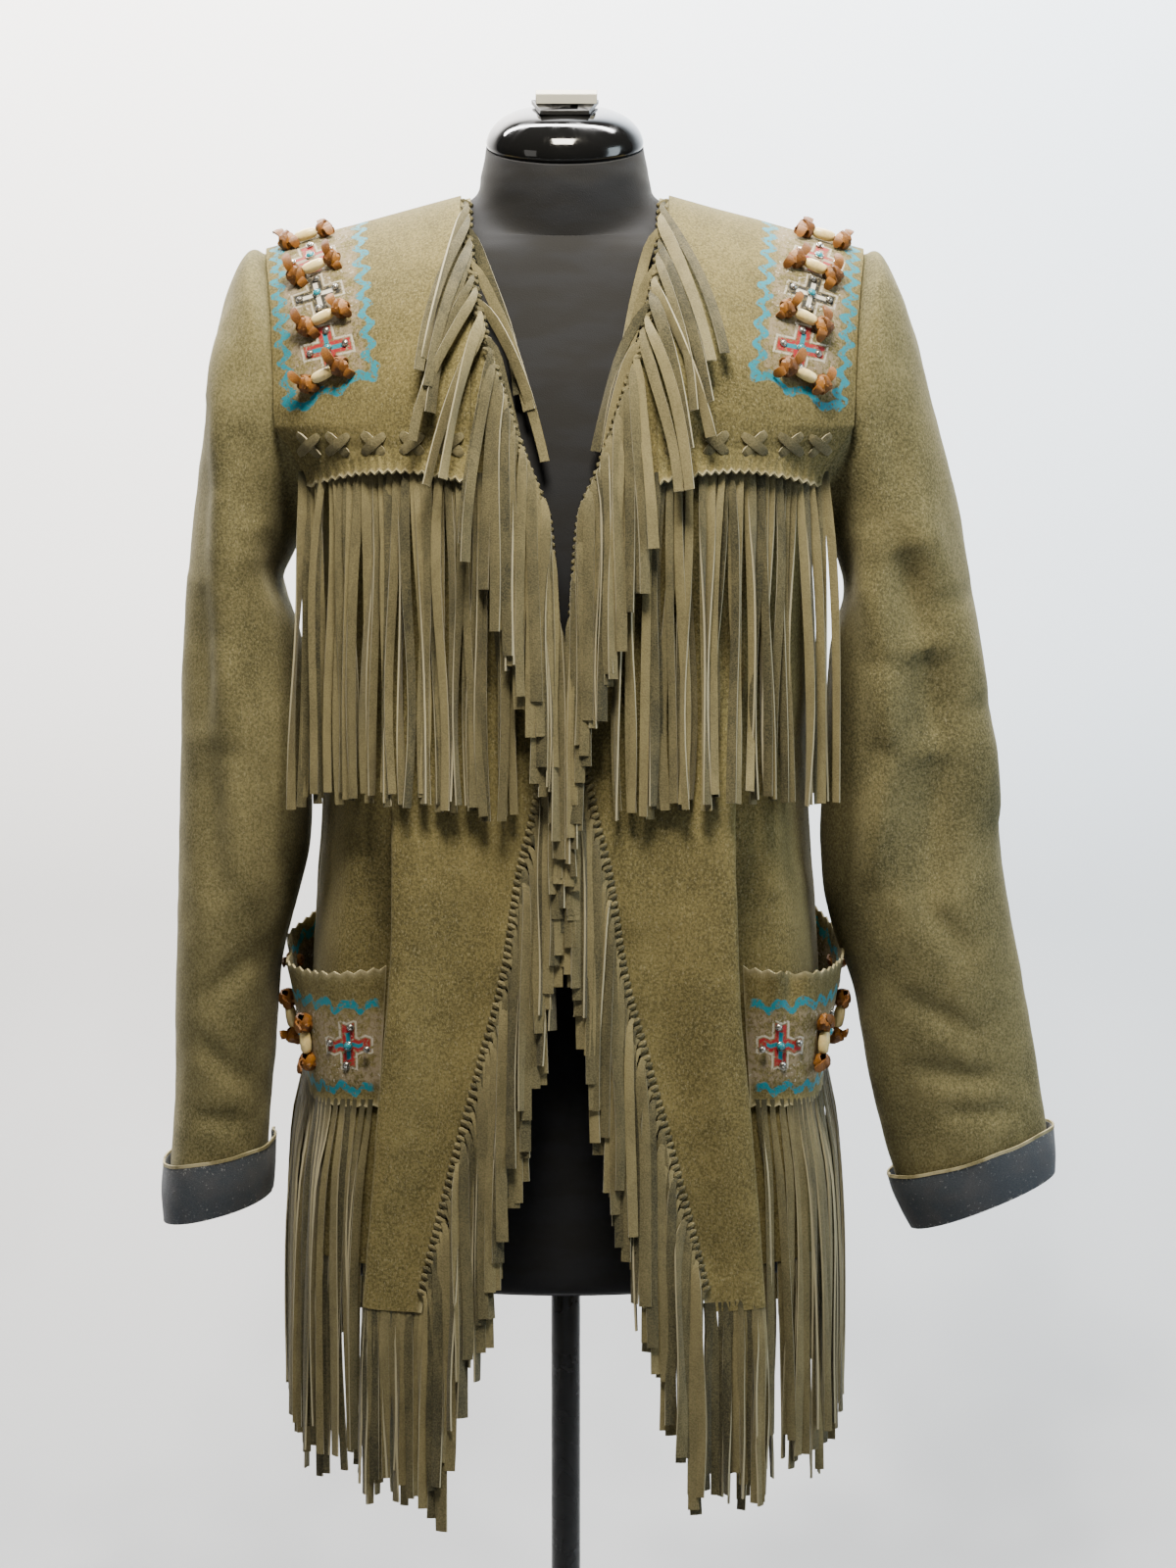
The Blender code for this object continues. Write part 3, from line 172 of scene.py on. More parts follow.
SLEEVE_CREASES = metres({
    "left": {
        "front": (
            (192, 1238, 205, 1146, 10, -6.6), (205, 1146, 209, 1091, 10, -7.48),
            (209, 1091, 197, 1000, 10, -6.6), (222, 1249, 250, 1188, 12, -5.72),
            (250, 1188, 267, 1118, 13, -6.6), (267, 1118, 280, 1040, 14, -5.72),
            (216, 1222, 233, 1157, 14, 8.8), (233, 1157, 240, 1091, 18, 12.1),
            (240, 1091, 236, 990, 18, 10.12), (205, 1320, 215, 1250, 12, 3.52),
            (226, 1000, 268, 950, 10, 3.52), (218, 930, 275, 900, 8, 3.08), (228, 880, 286, 872, 8, 3.08),
            (245, 850, 300, 850, 7, 2.64),
        ),
        "back": (
            (200, 1230, 250, 1150, 14, 7.92), (205, 1160, 262, 1080, 14, 7.48),
            (198, 1090, 250, 1050, 10, 5.72), (215, 1030, 262, 990, 10, 4.84),
            (240, 1330, 232, 1250, 14, 4.4), (236, 960, 262, 880, 12, -3.96),
        ),
    },
    "right": {
        "front": (
            (219, 1360, 219, 1260, 11, -3.96), (219, 1260, 220, 1165, 11, -4.84),
            (220, 1165, 214, 1090, 11, -4.84), (214, 1090, 206, 985, 12, -4.4),
            (236, 1320, 237, 1200, 12, 4.84), (237, 1200, 233, 1100, 12, 6.16),
            (233, 1100, 224, 990, 12, 5.72), (198, 1215, 194, 1110, 14, 4.4),
            (205, 1300, 200, 1235, 10, 4.4), (200, 960, 238, 925, 9, 3.52), (240, 900, 205, 870, 8, 3.08),
            (245, 850, 210, 846, 7, 2.64),
        ),
        "back": (
            (196, 1225, 238, 1140, 13, 7.48), (194, 1150, 240, 1080, 13, 7.04),
            (200, 1080, 238, 1030, 10, 5.72), (205, 1010, 240, 975, 9, 4.84),
            (225, 1320, 226, 1240, 13, 4.4), (222, 950, 230, 860, 12, -3.96),
        ),
    },
})

# How finely the cloth is laid out, and how often a place on the shoulder is brought closer
FRONT_COLUMNS = 116
SKIRT_ROWS = 112
SCYE_ROWS = 14
CAP_ROWS = 44
BACK_COLUMNS = 96
SLEEVE_STEPS = 15
YOKE_COLUMNS = 120
YOKE_ROWS = 96
POCKET_COLUMNS = 138
POCKET_ROWS = 48
PINKING_PITCH = 6
SHOULDER_ROUNDS = 14
FORM_SIDES = 96
FORM_STEPS = 7
FORM_SMOOTHING = 14

# Small pieces, and the camera that stands where the photo was taken from
BEAD_RADIUS = 0.0022
BEAD_LIFT = 0.0042
KNOT_FROM_MIDDLE = 0.0128
STUD_FROM_MIDDLE = 0.0125
TOP_THREAD = 1.4395
LOW_THREAD = 0.752
CAMERA_LENS = 83.08
CAMERA_AIM = (0.015, 0, 1.063)
CAMERA_REACH = 2.4
CAMERA_DOWN = 6


def length_property(name, description, default):
    return FloatProperty(name=name, description=description, default=default, unit="LENGTH")


def count_property(name, description, default, least, most):
    return IntProperty(name=name, description=description, default=default, min=least, max=most)


class JacketSizes(bpy.types.PropertyGroup):
    cloth: length_property("Cloth", "Thickness of the body suede", 0.0016)
    overlay: length_property("Overlay", "Thickness of the yokes and pockets", 0.0014)
    thong: length_property("Thong", "Thickness of a cut strand", 0.0012)
    chest_strand: length_property("Chest strand", "Width of a chest strand", 0.0055)
    edge_strand: length_property("Edge strand", "Width of a front edge strand", 0.0068)
    hem_strand: length_property("Hem strand", "Width of a hem or pocket strand", 0.0053)
    chest_length: length_property("Chest length", "Length of the chest fringe", 0.212)
    edge_length: length_property("Edge length", "Length of the front edge fringe", 0.14)
    pocket_length: length_property("Pocket length", "Length of the pocket fringe", 0.226)
    chest_count: count_property("Chest strands", "Strands under each yoke", 41, 8, 60)
    edge_pitch: length_property("Edge pitch", "Distance between the edge strands", 0.0064)
    pocket_count: count_property("Pocket strands", "Strands under each pocket", 34, 6, 48)
    bead: length_property("Bead", "Length of a bone bead", 0.0143)
    stud: length_property("Stud", "Width of a silver stud", 0.0048)


def colour_property(name, description, default):
    return FloatVectorProperty(
        name=name, description=description, default=(*default, 1), size=4, min=0, max=1, subtype="COLOR")


class JacketColours(bpy.types.PropertyGroup):
    suede_light: colour_property("Suede light", "Brushed, lit side of the nap", (0.212, 0.174, 0.07))
    suede_dark: colour_property("Suede dark", "Nap lying the other way", (0.058, 0.05, 0.02))
    sleeve_light: colour_property("Sleeve light", "Greener skin of the sleeves, lit", (0.222, 0.192, 0.09))
    sleeve_dark: colour_property("Sleeve dark", "Greener skin of the sleeves, shaded", (0.052, 0.049, 0.023))
    strand_light: colour_property("Strand light", "Grain side of the thongs", (0.205, 0.172, 0.08))
    # Strand dark is also the colour of the painted shade over the root of every strand.
    strand_dark: colour_property("Strand dark", "Flesh side of the thongs", (0.03, 0.028, 0.013))
    cuff: colour_property("Cuff", "Worn grey of the turned cuffs", (0.042, 0.051, 0.065))
    turquoise: colour_property("Turquoise", "Turquoise paint", (0.01, 0.19, 0.255))
    red: colour_property("Red", "Red paint", (0.29, 0.02, 0.024))
    black_paint: colour_property("Black paint", "Black paint", (0.028, 0.027, 0.024))
    white_paint: colour_property("White paint", "White paint", (0.62, 0.59, 0.52))
    ground: colour_property("Ground", "Pale sponged ground paint", (0.29, 0.232, 0.168))
    rust: colour_property("Rust", "Rust leather of the knots", (0.2, 0.07, 0.007))
    bone: colour_property("Bone", "Bone beads", (0.82, 0.63, 0.25))
    stone: colour_property("Stone", "Turquoise stones", (0.012, 0.25, 0.33))
    jersey: colour_property("Jersey", "Black jersey of the form", (0.009, 0.0086, 0.009))


def sizes():
    return bpy.context.scene.jacket_sizes


# The pattern's curves

def curve(table, column, at):
    """The table's column at the given places, by a cubic that never overshoots its rows."""
    names, rows = table
    xs = np.array([row[0] for row in rows])
    ys = np.array([row[names.index(column)] for row in rows])
    at = np.clip(np.asarray(at, float), xs[0], xs[-1])
    steps = np.diff(ys) / np.diff(xs)
    total = steps[:-1] + steps[1:]
    same_way = steps[:-1] * steps[1:] > 0
    inner = np.where(same_way, 2 * steps[:-1] * steps[1:] / np.where(same_way, total, 1), 0)
    slopes = np.concatenate([steps[:1], inner, steps[-1:]])
    i = np.clip(np.searchsorted(xs, at, side="right") - 1, 0, len(xs) - 2)
    h = xs[i + 1] - xs[i]
    t = (at - xs[i]) / h
    return (
        (2 * t**3 - 3 * t**2 + 1) * ys[i]
        + (t**3 - 2 * t**2 + t) * h * slopes[i]
        + (3 * t**2 - 2 * t**3) * ys[i + 1]
        + (t**3 - t**2) * h * slopes[i + 1]
    )


def ease(a, b, at):
    """0 at a, 1 at b, smooth between."""
    t = np.clip((np.asarray(at, float) - a) / (b - a), 0, 1)
    return t * t * (3 - 2 * t)


def power(value, exponent):
    return np.sign(value) * np.abs(value) ** exponent


def points_of(x, y, z):
    return np.stack(np.broadcast_arrays(x, y, z), axis=-1).astype(float)


def edge_x(z):
    return curve(EDGE, "x", z)


def shoulder_z(x):
    inside = np.maximum(0, 1 - (x / NECK_X) ** 2)
    return NECK_Z - SHOULDER_FALL * np.maximum(0, np.abs(x) - NECK_X) + BACK_NECK_RISE * inside


def chest_point(x, z, face):
    """A point of the upper body: face -1 is the front, +1 the back."""
    level = np.minimum(z, CHEST_Z)
    share = np.minimum(1, np.abs(x) / curve(TORSO, "half_width", level))
    y = curve(TORSO, "front" if face < 0 else "back", level) * (1 - share**PLAN_POWER) ** (1 / PLAN_POWER)
    rise = np.clip((z - CHEST_Z) / (shoulder_z(x) - CHEST_Z), 0, 1)
    y = y * (1 - rise**SHOULDER_POWER) ** (1 / SHOULDER_POWER)
    return points_of(x, face * y, z)


def chest_normal(x, z, face):
    step = 0.0004
    z = np.minimum(z, shoulder_z(x) - 2 * step)
    across = (chest_point(x + step, z, face) - chest_point(x - step, z, face))[..., 1]
    up = (chest_point(x, z + step, face) - chest_point(x, z - step, face))[..., 1]
    return unit(points_of(-face * across, face * 2 * step, -face * up))


def unit(vectors):
    return vectors / np.maximum(np.linalg.norm(vectors, axis=-1, keepdims=True), 1e-12)


def rounded(p0, p1, p2, p3, t):
    """Between p1 and p2, on a smooth curve through all four."""
    bend = (2 * p0 - 5 * p1 + 4 * p2 - p3) * t**2 + (3 * p1 - p0 - 3 * p2 + p3) * t**3
    return 0.5 * (2 * p1 + (p2 - p0) * t + bend)


def through(stops, knots, at):
    """A smooth plan curve through five moving stops, read at knot values."""
    first = 2 * stops[0] - stops[1]
    last = np.stack([stops[-1][..., 0], -stops[-2][..., 1]], axis=-1)
    ends = np.stack([first, *stops, last])
    i = np.clip(np.searchsorted(knots, at, side="right") - 1, 0, len(knots) - 2)
    t = ((at - knots[i]) / (knots[i + 1] - knots[i]))[..., None]
    return rounded(*(np.take_along_axis(ends, (i + k)[None, ..., None], axis=0)[0] for k in range(4)), t)


def front_point(along, z):
    half = curve(TORSO, "half_width", z)
    start = np.arcsin(np.minimum(1, edge_x(z) / half) ** (PLAN_POWER / 2))
    angle = start + (math.pi / 2 - start) * along
    plain = np.stack([
        half * power(np.sin(angle), 2 / PLAN_POWER),
        -curve(TORSO, "front", z) * power(np.cos(angle), 2 / PLAN_POWER),
    ], axis=-1)
    stops = [edge_x(z), *(curve(FOLD, name, z) for name in FOLD[0][1:]), half, 0 * half]
    stops = [np.stack(stops[k:k + 2], axis=-1) for k in range(0, len(stops), 2)]
    folded = through(stops, FOLD_KNOTS, np.clip(along, 0, 1))
    amount = ease(FOLD_TOP_Z, FOLD_FULL_Z, z)[..., None]
    plan = plain * (1 - amount) + folded * amount
    return points_of(plan[..., 0], plan[..., 1], z)


def back_point(along, z):
    angle = math.pi / 2 * along
    fold = ease(FOLD_TOP_Z, FOLD_FULL_Z, z) * BACK_FOLD_DEPTH * np.sin(math.pi * BACK_FOLDS * (along - 1)) ** 2
    x = curve(TORSO, "half_width", z) * power(np.sin(angle), 2 / PLAN_POWER)
    y = (curve(TORSO, "back", z) + fold) * power(-np.cos(angle), 2 / PLAN_POWER)
    return points_of(x, y, z)


def body_point(along, z):
    """The body at a height: along is 0 at the front edge, 1 at the side seam, 2 at the centre back."""
    along, z = np.broadcast_arrays(np.asarray(along, float), np.asarray(z, float))
    front = front_point(np.minimum(along, 1), z)
    back = back_point(np.maximum(along, 1), z)
    return np.where((along > 1)[..., None], back, front)


def body_normal(along, z):
    along, z = np.broadcast_arrays(np.asarray(along, float), np.asarray(z, float))
    step = 0.004
    across = body_point(np.minimum(along + step, 2), z) - body_point(np.maximum(along - step, 0), z)
    up = body_point(along, z + 0.002) - body_point(along, z - 0.002)
    return unit(np.cross(across, up))


def hem_z(along):
    return np.interp(along, HEM[:, 0], HEM[:, 1])


def armhole_along(drop, z, face):
    """Where the lower armhole cuts the section. Drop is 1 at the underarm and 0 at the chest line."""
    half = float(curve(TORSO, "half_width", CHEST_Z))
    corner = math.asin((float(curve(ARMHOLE, "x", CHEST_Z)) / half) ** (PLAN_POWER / 2))
    angle = math.pi / 2 - (math.pi / 2 - corner) * np.sqrt(np.maximum(0, 1 - drop * drop))
    if face > 0:
        return 2 - angle / (math.pi / 2)
    start = np.arcsin((edge_x(z) / curve(TORSO, "half_width", z)) ** (PLAN_POWER / 2))
    return (angle - start) / (math.pi / 2 - start)


def cap_place(share, angle, face):
    """x and z in the round over the shoulder: share is 0 at the edge or centre and 1 at the armhole."""
    share, angle = np.broadcast_arrays(share, angle)
    rise = power(np.sin(np.radians(angle)), 2 / SHOULDER_POWER)
    z = np.full(share.shape, CHEST_Z)
    for _ in range(SHOULDER_ROUNDS):
        inner = edge_x(z) if face < 0 else 0
        x = inner + (curve(ARMHOLE, "x", z) - inner) * share
        top = shoulder_z(x)
        z = CHEST_Z + (top - CHEST_Z) * rise
        if face > 0:
            inside = np.clip(1 - (np.minimum(x, NECK_X) / NECK_X) ** NECKLINE_POWER, 0, 1)
            depth = BACK_NECK_DEPTH * inside ** (1 / NECKLINE_POWER)
            full = chest_point(x, np.full(x.shape, CHEST_Z), 1)[..., 1]
            reach = (1 - (depth / full) ** SHOULDER_POWER) ** (1 / SHOULDER_POWER)
            z = np.where(x < NECK_X, CHEST_Z + (top - CHEST_Z) * np.minimum(rise, 1) * reach, z)
    return x, np.minimum(z, shoulder_z(x))


def panel_points(face, columns):
    """Outer points of a front (face -1) or half back (face +1), from the hem up."""
    c = np.linspace(0, 1, columns)[None, :]
    along = c if face < 0 else 2 - c
    t = np.linspace(0, 1, SKIRT_ROWS)[:, None]
    skirt = body_point(along + 0 * t, hem_z(along) + (UNDERARM_Z - hem_z(along)) * t)
    turn = np.linspace(0, math.pi / 2, SCYE_ROWS)[1:, None]
    drop = np.cos(turn)
    z = CHEST_Z - drop * (CHEST_Z - UNDERARM_Z)
    reach = armhole_along(drop, z, face)
    along = c * reach if face < 0 else 2 - c * (2 - reach)
    scye = body_point(along, z + 0 * c)
    low = scye[-1, :, 0]
    share = (low - low[0]) / (low[-1] - low[0])
    x, z = cap_place(share[None, :], np.linspace(0, 90, CAP_ROWS)[1:, None], face)
    return np.concatenate([skirt, scye, chest_point(x, z, face)])


# Cloth

def grid_normals(points, tube=False):
    """Outward directions of a grid whose rows run up and whose columns run so that across x up is out."""
    if tube:
        across = np.roll(points, -1, axis=1) - np.roll(points, 1, axis=1)
    else:
        across = np.gradient(points, axis=1)
    return unit(np.cross(across, np.gradient(points, axis=0)))


def wander(points, size, seed):
    """Soft noise between -1 and 1 over points, with bumps of about the given size."""
    flat = points.reshape(-1, 3) / size + 13.7 * seed
    return np.array([noise.noise(p) for p in flat.tolist()]).reshape(points.shape[:-1])


def crease_depth(x, z, creases):
    total = np.zeros(np.shape(x))
    for x0, z0, x1, z1, width, depth in creases:
        run = np.array((x1 - x0, z1 - z0))
        t = np.clip(((x - x0) * run[0] + (z - z0) * run[1]) / (run @ run), 0, 1)
        gap = np.hypot(x - x0 - t * run[0], z - z0 - t * run[1])
        total += depth * np.sqrt(np.sin(math.pi * np.clip(t, 0.01, 0.99))) * np.exp(-((gap / width) ** 2))
    return total


def distance_along(points, axis, from_end):
    """Distance of each point of a grid from its first or last row (axis 0) or column (axis 1)."""
    flipped = np.flip(points, axis) if from_end else points
    steps = np.linalg.norm(np.diff(flipped, axis=axis), axis=-1)
    total = np.concatenate([np.zeros_like(np.take(steps, [0], axis)), np.cumsum(steps, axis=axis)], axis=axis)
    return np.flip(total, axis) if from_end else total


def seam_dip(distance):
    """Cloth rolls in by under a millimetre where it's sewn."""
    return 0.0007 * np.exp(-((distance / 0.0028) ** 2)) - 0.0003 * np.exp(-(((distance - 0.006) / 0.003) ** 2))


def mirrored(points):
    return np.flip(points * (-1, 1, 1), axis=1)


@functools.cache
def front_cloth(side):
    """Outer points of a front with its creases, as if on the left."""
    points = panel_points(-1, FRONT_COLUMNS)
    normals = grid_normals(points)
    x, z = points[..., 0], points[..., 2]
    seed = 1 + SIDES.index(side)
    free = 1 - ease(UNDERARM_Z, UNDER_YOKE_Z, z)
    under_pocket = ease(0.1, 0.13, x) * ease(0.85, 0.87, z) * (1 - ease(0.985, 1, z))
    soft = 0.0011 * wander(points, 0.06, seed) + 0.0005 * wander(points, 0.021, seed + 5)
    depth = crease_depth(x, z, FRONT_CREASES[side]) * free
    move = (soft - depth) * (0.25 + 0.75 * free)
    move = np.where(under_pocket > 0, np.minimum(move, 0) * 0.4 + move * 0.6 * (1 - under_pocket), move)
    under_yoke = ease(UNDER_YOKE_Z, 1.275, z)
    move = move * (1 - under_yoke) - 0.0003 * under_yoke
    move -= seam_dip(distance_along(points, 1, True))
    move -= seam_dip(distance_along(points, 0, True))
    flutter = 0.0016 * np.exp(-distance_along(points, 1, False) / 0.012) * wander(points, 0.035, seed + 9)
    return points + normals * (move + flutter * free)[..., None]


@functools.cache
def back_cloth():
    """Outer points of the back, from the wearer's left side seam to the right."""
    half = panel_points(1, BACK_COLUMNS)
    points = np.concatenate([np.flip(half, 1), half[:, 1:] * (-1, 1, 1)], axis=1)
    normals = grid_normals(points)
    x, z = points[..., 0], points[..., 2]
    calm = 1 - 0.75 * ease(1.34, 1.4, z)
    move = 0.0014 * wander(points, 0.07, 3) + 0.0006 * wander(points, 0.024, 8)
    move = (move - crease_depth(x, z, BACK_CREASES)) * calm
    for from_end in (False, True):
        move -= seam_dip(distance_along(points, 1, from_end))
    move -= seam_dip(distance_along(points, 0, True)) * (np.abs(x) > NECK_X)
    return points + normals * move[..., None]


@functools.cache
def armhole_ring():
    """The left armhole from the shoulder tip down the front and up the back."""
    front = panel_points(-1, FRONT_COLUMNS)[SKIRT_ROWS - 1:, -1]
    back = panel_points(1, BACK_COLUMNS)[SKIRT_ROWS - 1:, -1]
    ring = np.concatenate([front[::-1], back[1:-1]])
    return ring + (SEAM_GAP / 2, 0, 0)


def sleeve_ring(row, angles):
    o_x, o_z, i_x, i_z, half_depth, mid_y = row
    centre = np.array(((o_x + i_x) / 2, mid_y, (o_z + i_z) / 2))
    upward = np.array(((o_x - i_x) / 2, 0, (o_z - i_z) / 2))
    sideways = np.array((0, half_depth, 0))
    return centre + upward * power(np.cos(angles), 0.92)[:, None] - sideways * power(np.sin(angles), 0.92)[:, None]


def smooth_rows(rows, steps):
    """Rows of points carried on smoothly through the given ones."""
    rows = np.asarray(rows)
    ends = np.concatenate([2 * rows[:1] - rows[1:2], rows, 2 * rows[-1:] - rows[-2:-1]])
    made = [rounded(*ends[k:k + 4], t) for k in range(len(rows) - 1) for t in np.arange(steps) / steps]
    return np.array(made + [rows[-1]])


@functools.cache
def sleeve_form(side):
    """Plain outer points of a sleeve, as if on the left, from the armhole to the turn of the cuff."""
    first = armhole_ring()
    low = first[:, 2].min()
    middle, high = (first[0, 2] + low) / 2, (first[0, 2] - low) / 2
    deep = np.abs(first[:, 1]).max()
    angles = np.arctan2(-first[:, 1] / deep, (first[:, 2] - middle) / high)
    angles = np.where(angles < -1e-6, angles + 2 * math.pi, angles)
    even = 2 * math.pi * np.arange(len(first)) / len(first)
    rows = [first]
    for k, row in enumerate(SLEEVES[side]):
        t = min(1, (k + 1) / 4)
        rows.append(sleeve_ring(row, angles * (1 - t) + even * t))
    return smooth_rows(rows, SLEEVE_STEPS)


@functools.cache
def sleeve_cloth(side):
    points = sleeve_form(side)
    normals = grid_normals(points, tube=True)
    x, z = points[..., 0], points[..., 2]
    seed = 20 + SIDES.index(side)
    fore = ease(0.15, -0.15, normals[..., 1])
    creases = SLEEVE_CREASES[side]
    depth = crease_depth(x, z, creases["front"]) * fore + crease_depth(x, z, creases["back"]) * (1 - fore)
    ends = ease(0, 0.03, distance_along(points, 0, False)) * ease(0, 0.045, distance_along(points, 0, True))
    stretched = points * (1, 1, 0.45)
    move = 0.0026 * wander(stretched, 0.042, seed) + 0.0006 * wander(points, 0.018, seed + 3)
    move = (move - depth) * ends - seam_dip(distance_along(points, 0, False))
    # the underarm seam
    around = distance_along(points, 1, False)
    seam = np.abs(around - around[:, len(armhole_ring()) // 2][:, None])
    move -= seam_dip(seam) * ease(0, 0.05, distance_along(points, 0, False))
    return points + normals * move[..., None]


def yoke_lift(normals):
    return 0.0007 + 0.0006 * np.abs(normals[..., 1])


def pinking(columns, depth):
    """Zigzag of a pinked edge, for each column."""
    return depth * np.abs((np.arange(columns) % PINKING_PITCH) / (PINKING_PITCH / 2) - 1)


def yoke_arch(share):
    """How far the yoke's lower edge rises between its two ends."""
    return 0.008 * np.clip(1 - (2 * share - 1) ** 2, 0, 1)


@functools.cache
def yoke_places():
    """x and z of the yoke's points, from its pinked lower edge to the shoulder seam."""
    c = np.linspace(0, 1, YOKE_COLUMNS + 1)[None, :]
    h = np.linspace(0, 1, 20)[:-1, None]
    teeth = pinking(YOKE_COLUMNS + 1, 0.0024)[None, :]
    z = YOKE_LOW_Z - 0.0008 + (CHEST_Z - YOKE_LOW_Z + 0.0008) * h + 0 * c
    level = np.maximum(z, YOKE_LOW_Z)
    drop = (CHEST_Z - level) / (CHEST_Z - UNDERARM_Z)
    outermost = body_point(armhole_along(drop, level, -1), level)[..., 0] - YOKE_OUT_GAP
    low_x = YOKE_IN_X + (outermost - YOKE_IN_X) * c
    low_z = z - teeth * (1 - h) ** 3 + yoke_arch(c) * (1 - h)
    angle = np.linspace(0, 90, YOKE_ROWS)[:, None]
    rise = power(np.sin(np.radians(angle)), 2 / SHOULDER_POWER)
    z = np.full((YOKE_ROWS, YOKE_COLUMNS + 1), CHEST_Z)
    for _ in range(SHOULDER_ROUNDS):
        inside = np.maximum(YOKE_IN_X, edge_x(z) + YOKE_IN_GAP)
        x = inside + (curve(ARMHOLE, "x", z) - YOKE_OUT_GAP - inside) * c
        z = CHEST_Z + (shoulder_z(x) - CHEST_Z) * rise
    return np.concatenate([low_x, x]), np.concatenate([low_z, np.minimum(z, shoulder_z(x))])


@functools.cache
def yoke_cloth(side):
    x, z = yoke_places()
    plain = chest_point(x, z, -1)
    normals = chest_normal(x, z, -1)
    seed = 40 + SIDES.index(side)
    low = np.exp(-np.maximum(z - z[0], 0) / 0.006)
    curl = low * (0.005 + 0.0018 * wander(plain, 0.024, seed))
    puff = 0.0004 * wander(plain, 0.03, seed + 2) + 0.0003
    puff -= 0.0005 * np.exp(-(((z - LACING_Z) / 0.004) ** 2))
    return plain + normals * (yoke_lift(normals) + OVERLAY + curl + puff)[..., None]


def patch_mid(z):
    """Middle line of the painted patch."""
    return 0.1475 + (z - 1.3155) * 0.14


@functools.cache
def yoke_rise():
    """Height along the cloth of each row of the yoke, at the patch, and the z of each row."""
    x, z = yoke_places()
    points = chest_point(x, z, -1)
    column = int(YOKE_COLUMNS * 0.72)
    return distance_along(points, 0, False)[:, column], z[:, column]


def patch_place(x, z):
    """Where a point of the yoke lies on the painted patch, in metres along the cloth."""
    rise, level = yoke_rise()
    return x - patch_mid(z), float(np.interp(z, level, rise))


@functools.cache
def pocket_places():
    along = np.linspace(POCKET_FROM, POCKET_TO, POCKET_COLUMNS + 1)[None, :]
    height = np.linspace(0, 1, POCKET_ROWS)[:, None]
    low, high = curve(POCKET, "bottom_z", along), curve(POCKET, "mouth_z", along)
    z = low + (high - low) * height
    teeth = pinking(POCKET_COLUMNS + 1, 1)[None, :]
    z = z + teeth * (0.0022 * height**8 - 0.0016 * (1 - height) ** 10)
    return along + 0 * height, height + 0 * along, z


def pocket_bulge(along, height):
    share = np.clip((along - POCKET_FROM) / (POCKET_TO - POCKET_FROM), 0, 1)
    return POCKET_BULGE * np.sin(math.pi * share) ** 0.8 * np.clip(height, 0, 1) ** 1.2


@functools.cache
def pocket_cloth(side):
    along, height, z = pocket_places()
    normals = body_normal(along, z)
    points = body_point(along, z) + normals * (POCKET_LIFT + OVERLAY + pocket_bulge(along, height))[..., None]
    seed = 60 + SIDES.index(side)
    move = 0.0009 * wander(points, 0.026, seed) * height
    if side == "left":
        # a pinched fold in the mouth
        move -= 0.008 * np.exp(-(((along - 0.735 + 0.03 * (1 - height)) / 0.016) ** 2)) * height**3
        move += 0.003 * np.exp(-(((along - 0.7) / 0.02) ** 2)) * height**3
    else:
        move += 0.0022 * np.sin(38 * along) * height**3
    move -= 0.0008 * np.exp(-((height * 0.085 / 0.006 - 1) ** 2))
    return points + normals * move[..., None]


# Meshes

def make_object(name, points, faces, finish, sharp=50):
    mesh = bpy.data.meshes.new(name)
    mesh.from_pydata(np.asarray(points).reshape(-1, 3).tolist(), [], faces)
    mesh.validate()
    mesh.shade_smooth()
    mesh.set_sharp_from_angle(angle=math.radians(sharp))
    mesh.materials.append(finish)
    piece = bpy.data.objects.new(name, mesh)
    bpy.context.scene.collection.objects.link(piece)
    return piece


def quad_strip(a, b, c, d):
    return np.stack([a, b, c, d], axis=-1).reshape(-1, 4).tolist()


def grid_faces(index):
    """The faces of a grid of point numbers, looking outward."""
    return quad_strip(index[:-1, :-1], index[:-1, 1:], index[1:, 1:], index[1:, :-1])


def grid_wall(name, outer, thickness, finish, tube=False):
    """A closed wall of cloth whose outer face is a grid."""
    inner = outer - grid_normals(outer, tube) * thickness
    rows, across = outer.shape[:2]
    index = np.arange(rows * across).reshape(rows, across)
    if tube:
        index = np.concatenate([index, index[:, :1]], axis=1)
    under = index + rows * across
    faces = grid_faces(index)
    faces += quad_strip(under[:-1, :-1], under[1:, :-1], under[1:, 1:], under[:-1, 1:])
    faces += quad_strip(index[0, 1:], index[0, :-1], under[0, :-1], under[0, 1:])
    faces += quad_strip(index[-1, :-1], index[-1, 1:], under[-1, 1:], under[-1, :-1])
    if not tube:
        faces += quad_strip(index[:-1, 0], index[1:, 0], under[1:, 0], under[:-1, 0])
        faces += quad_strip(index[1:, -1], index[:-1, -1], under[:-1, -1], under[1:, -1])
    return make_object(name, np.concatenate([outer.reshape(-1, 3), inner.reshape(-1, 3)]), faces, finish)


def set_attribute(piece, name, values, domain="POINT"):
    """A number for each vertex or face that the piece's material reads."""
    attribute = piece.data.attributes.new(name, "FLOAT", domain)
    attribute.data.foreach_set("value", np.asarray(values, np.float32).ravel())


def set_uv(piece, places):
    """The piece's own UV map, given for each vertex in metres."""
    layer = piece.data.uv_layers.new(name="patch")
    corners = np.zeros(len(piece.data.loops), np.int32)
    piece.data.loops.foreach_get("vertex_index", corners)
    layer.data.foreach_set("uv", np.asarray(places, np.float32)[corners].ravel())


def on_body(piece, slot, *nodes):
    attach(piece, "root")
    if nodes:
        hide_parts(*nodes)
    return piece


def edge_wear(points, widths):
    """1 at the raw edges of a grid, falling off inwards. Widths are for the first and last rows and columns."""
    worn = np.zeros(points.shape[:2])
    for (axis, from_end), width in zip(((0, False), (0, True), (1, False), (1, True)), widths):
        if width:
            worn = np.maximum(worn, np.exp(-distance_along(points, axis, from_end) / width))
    return worn


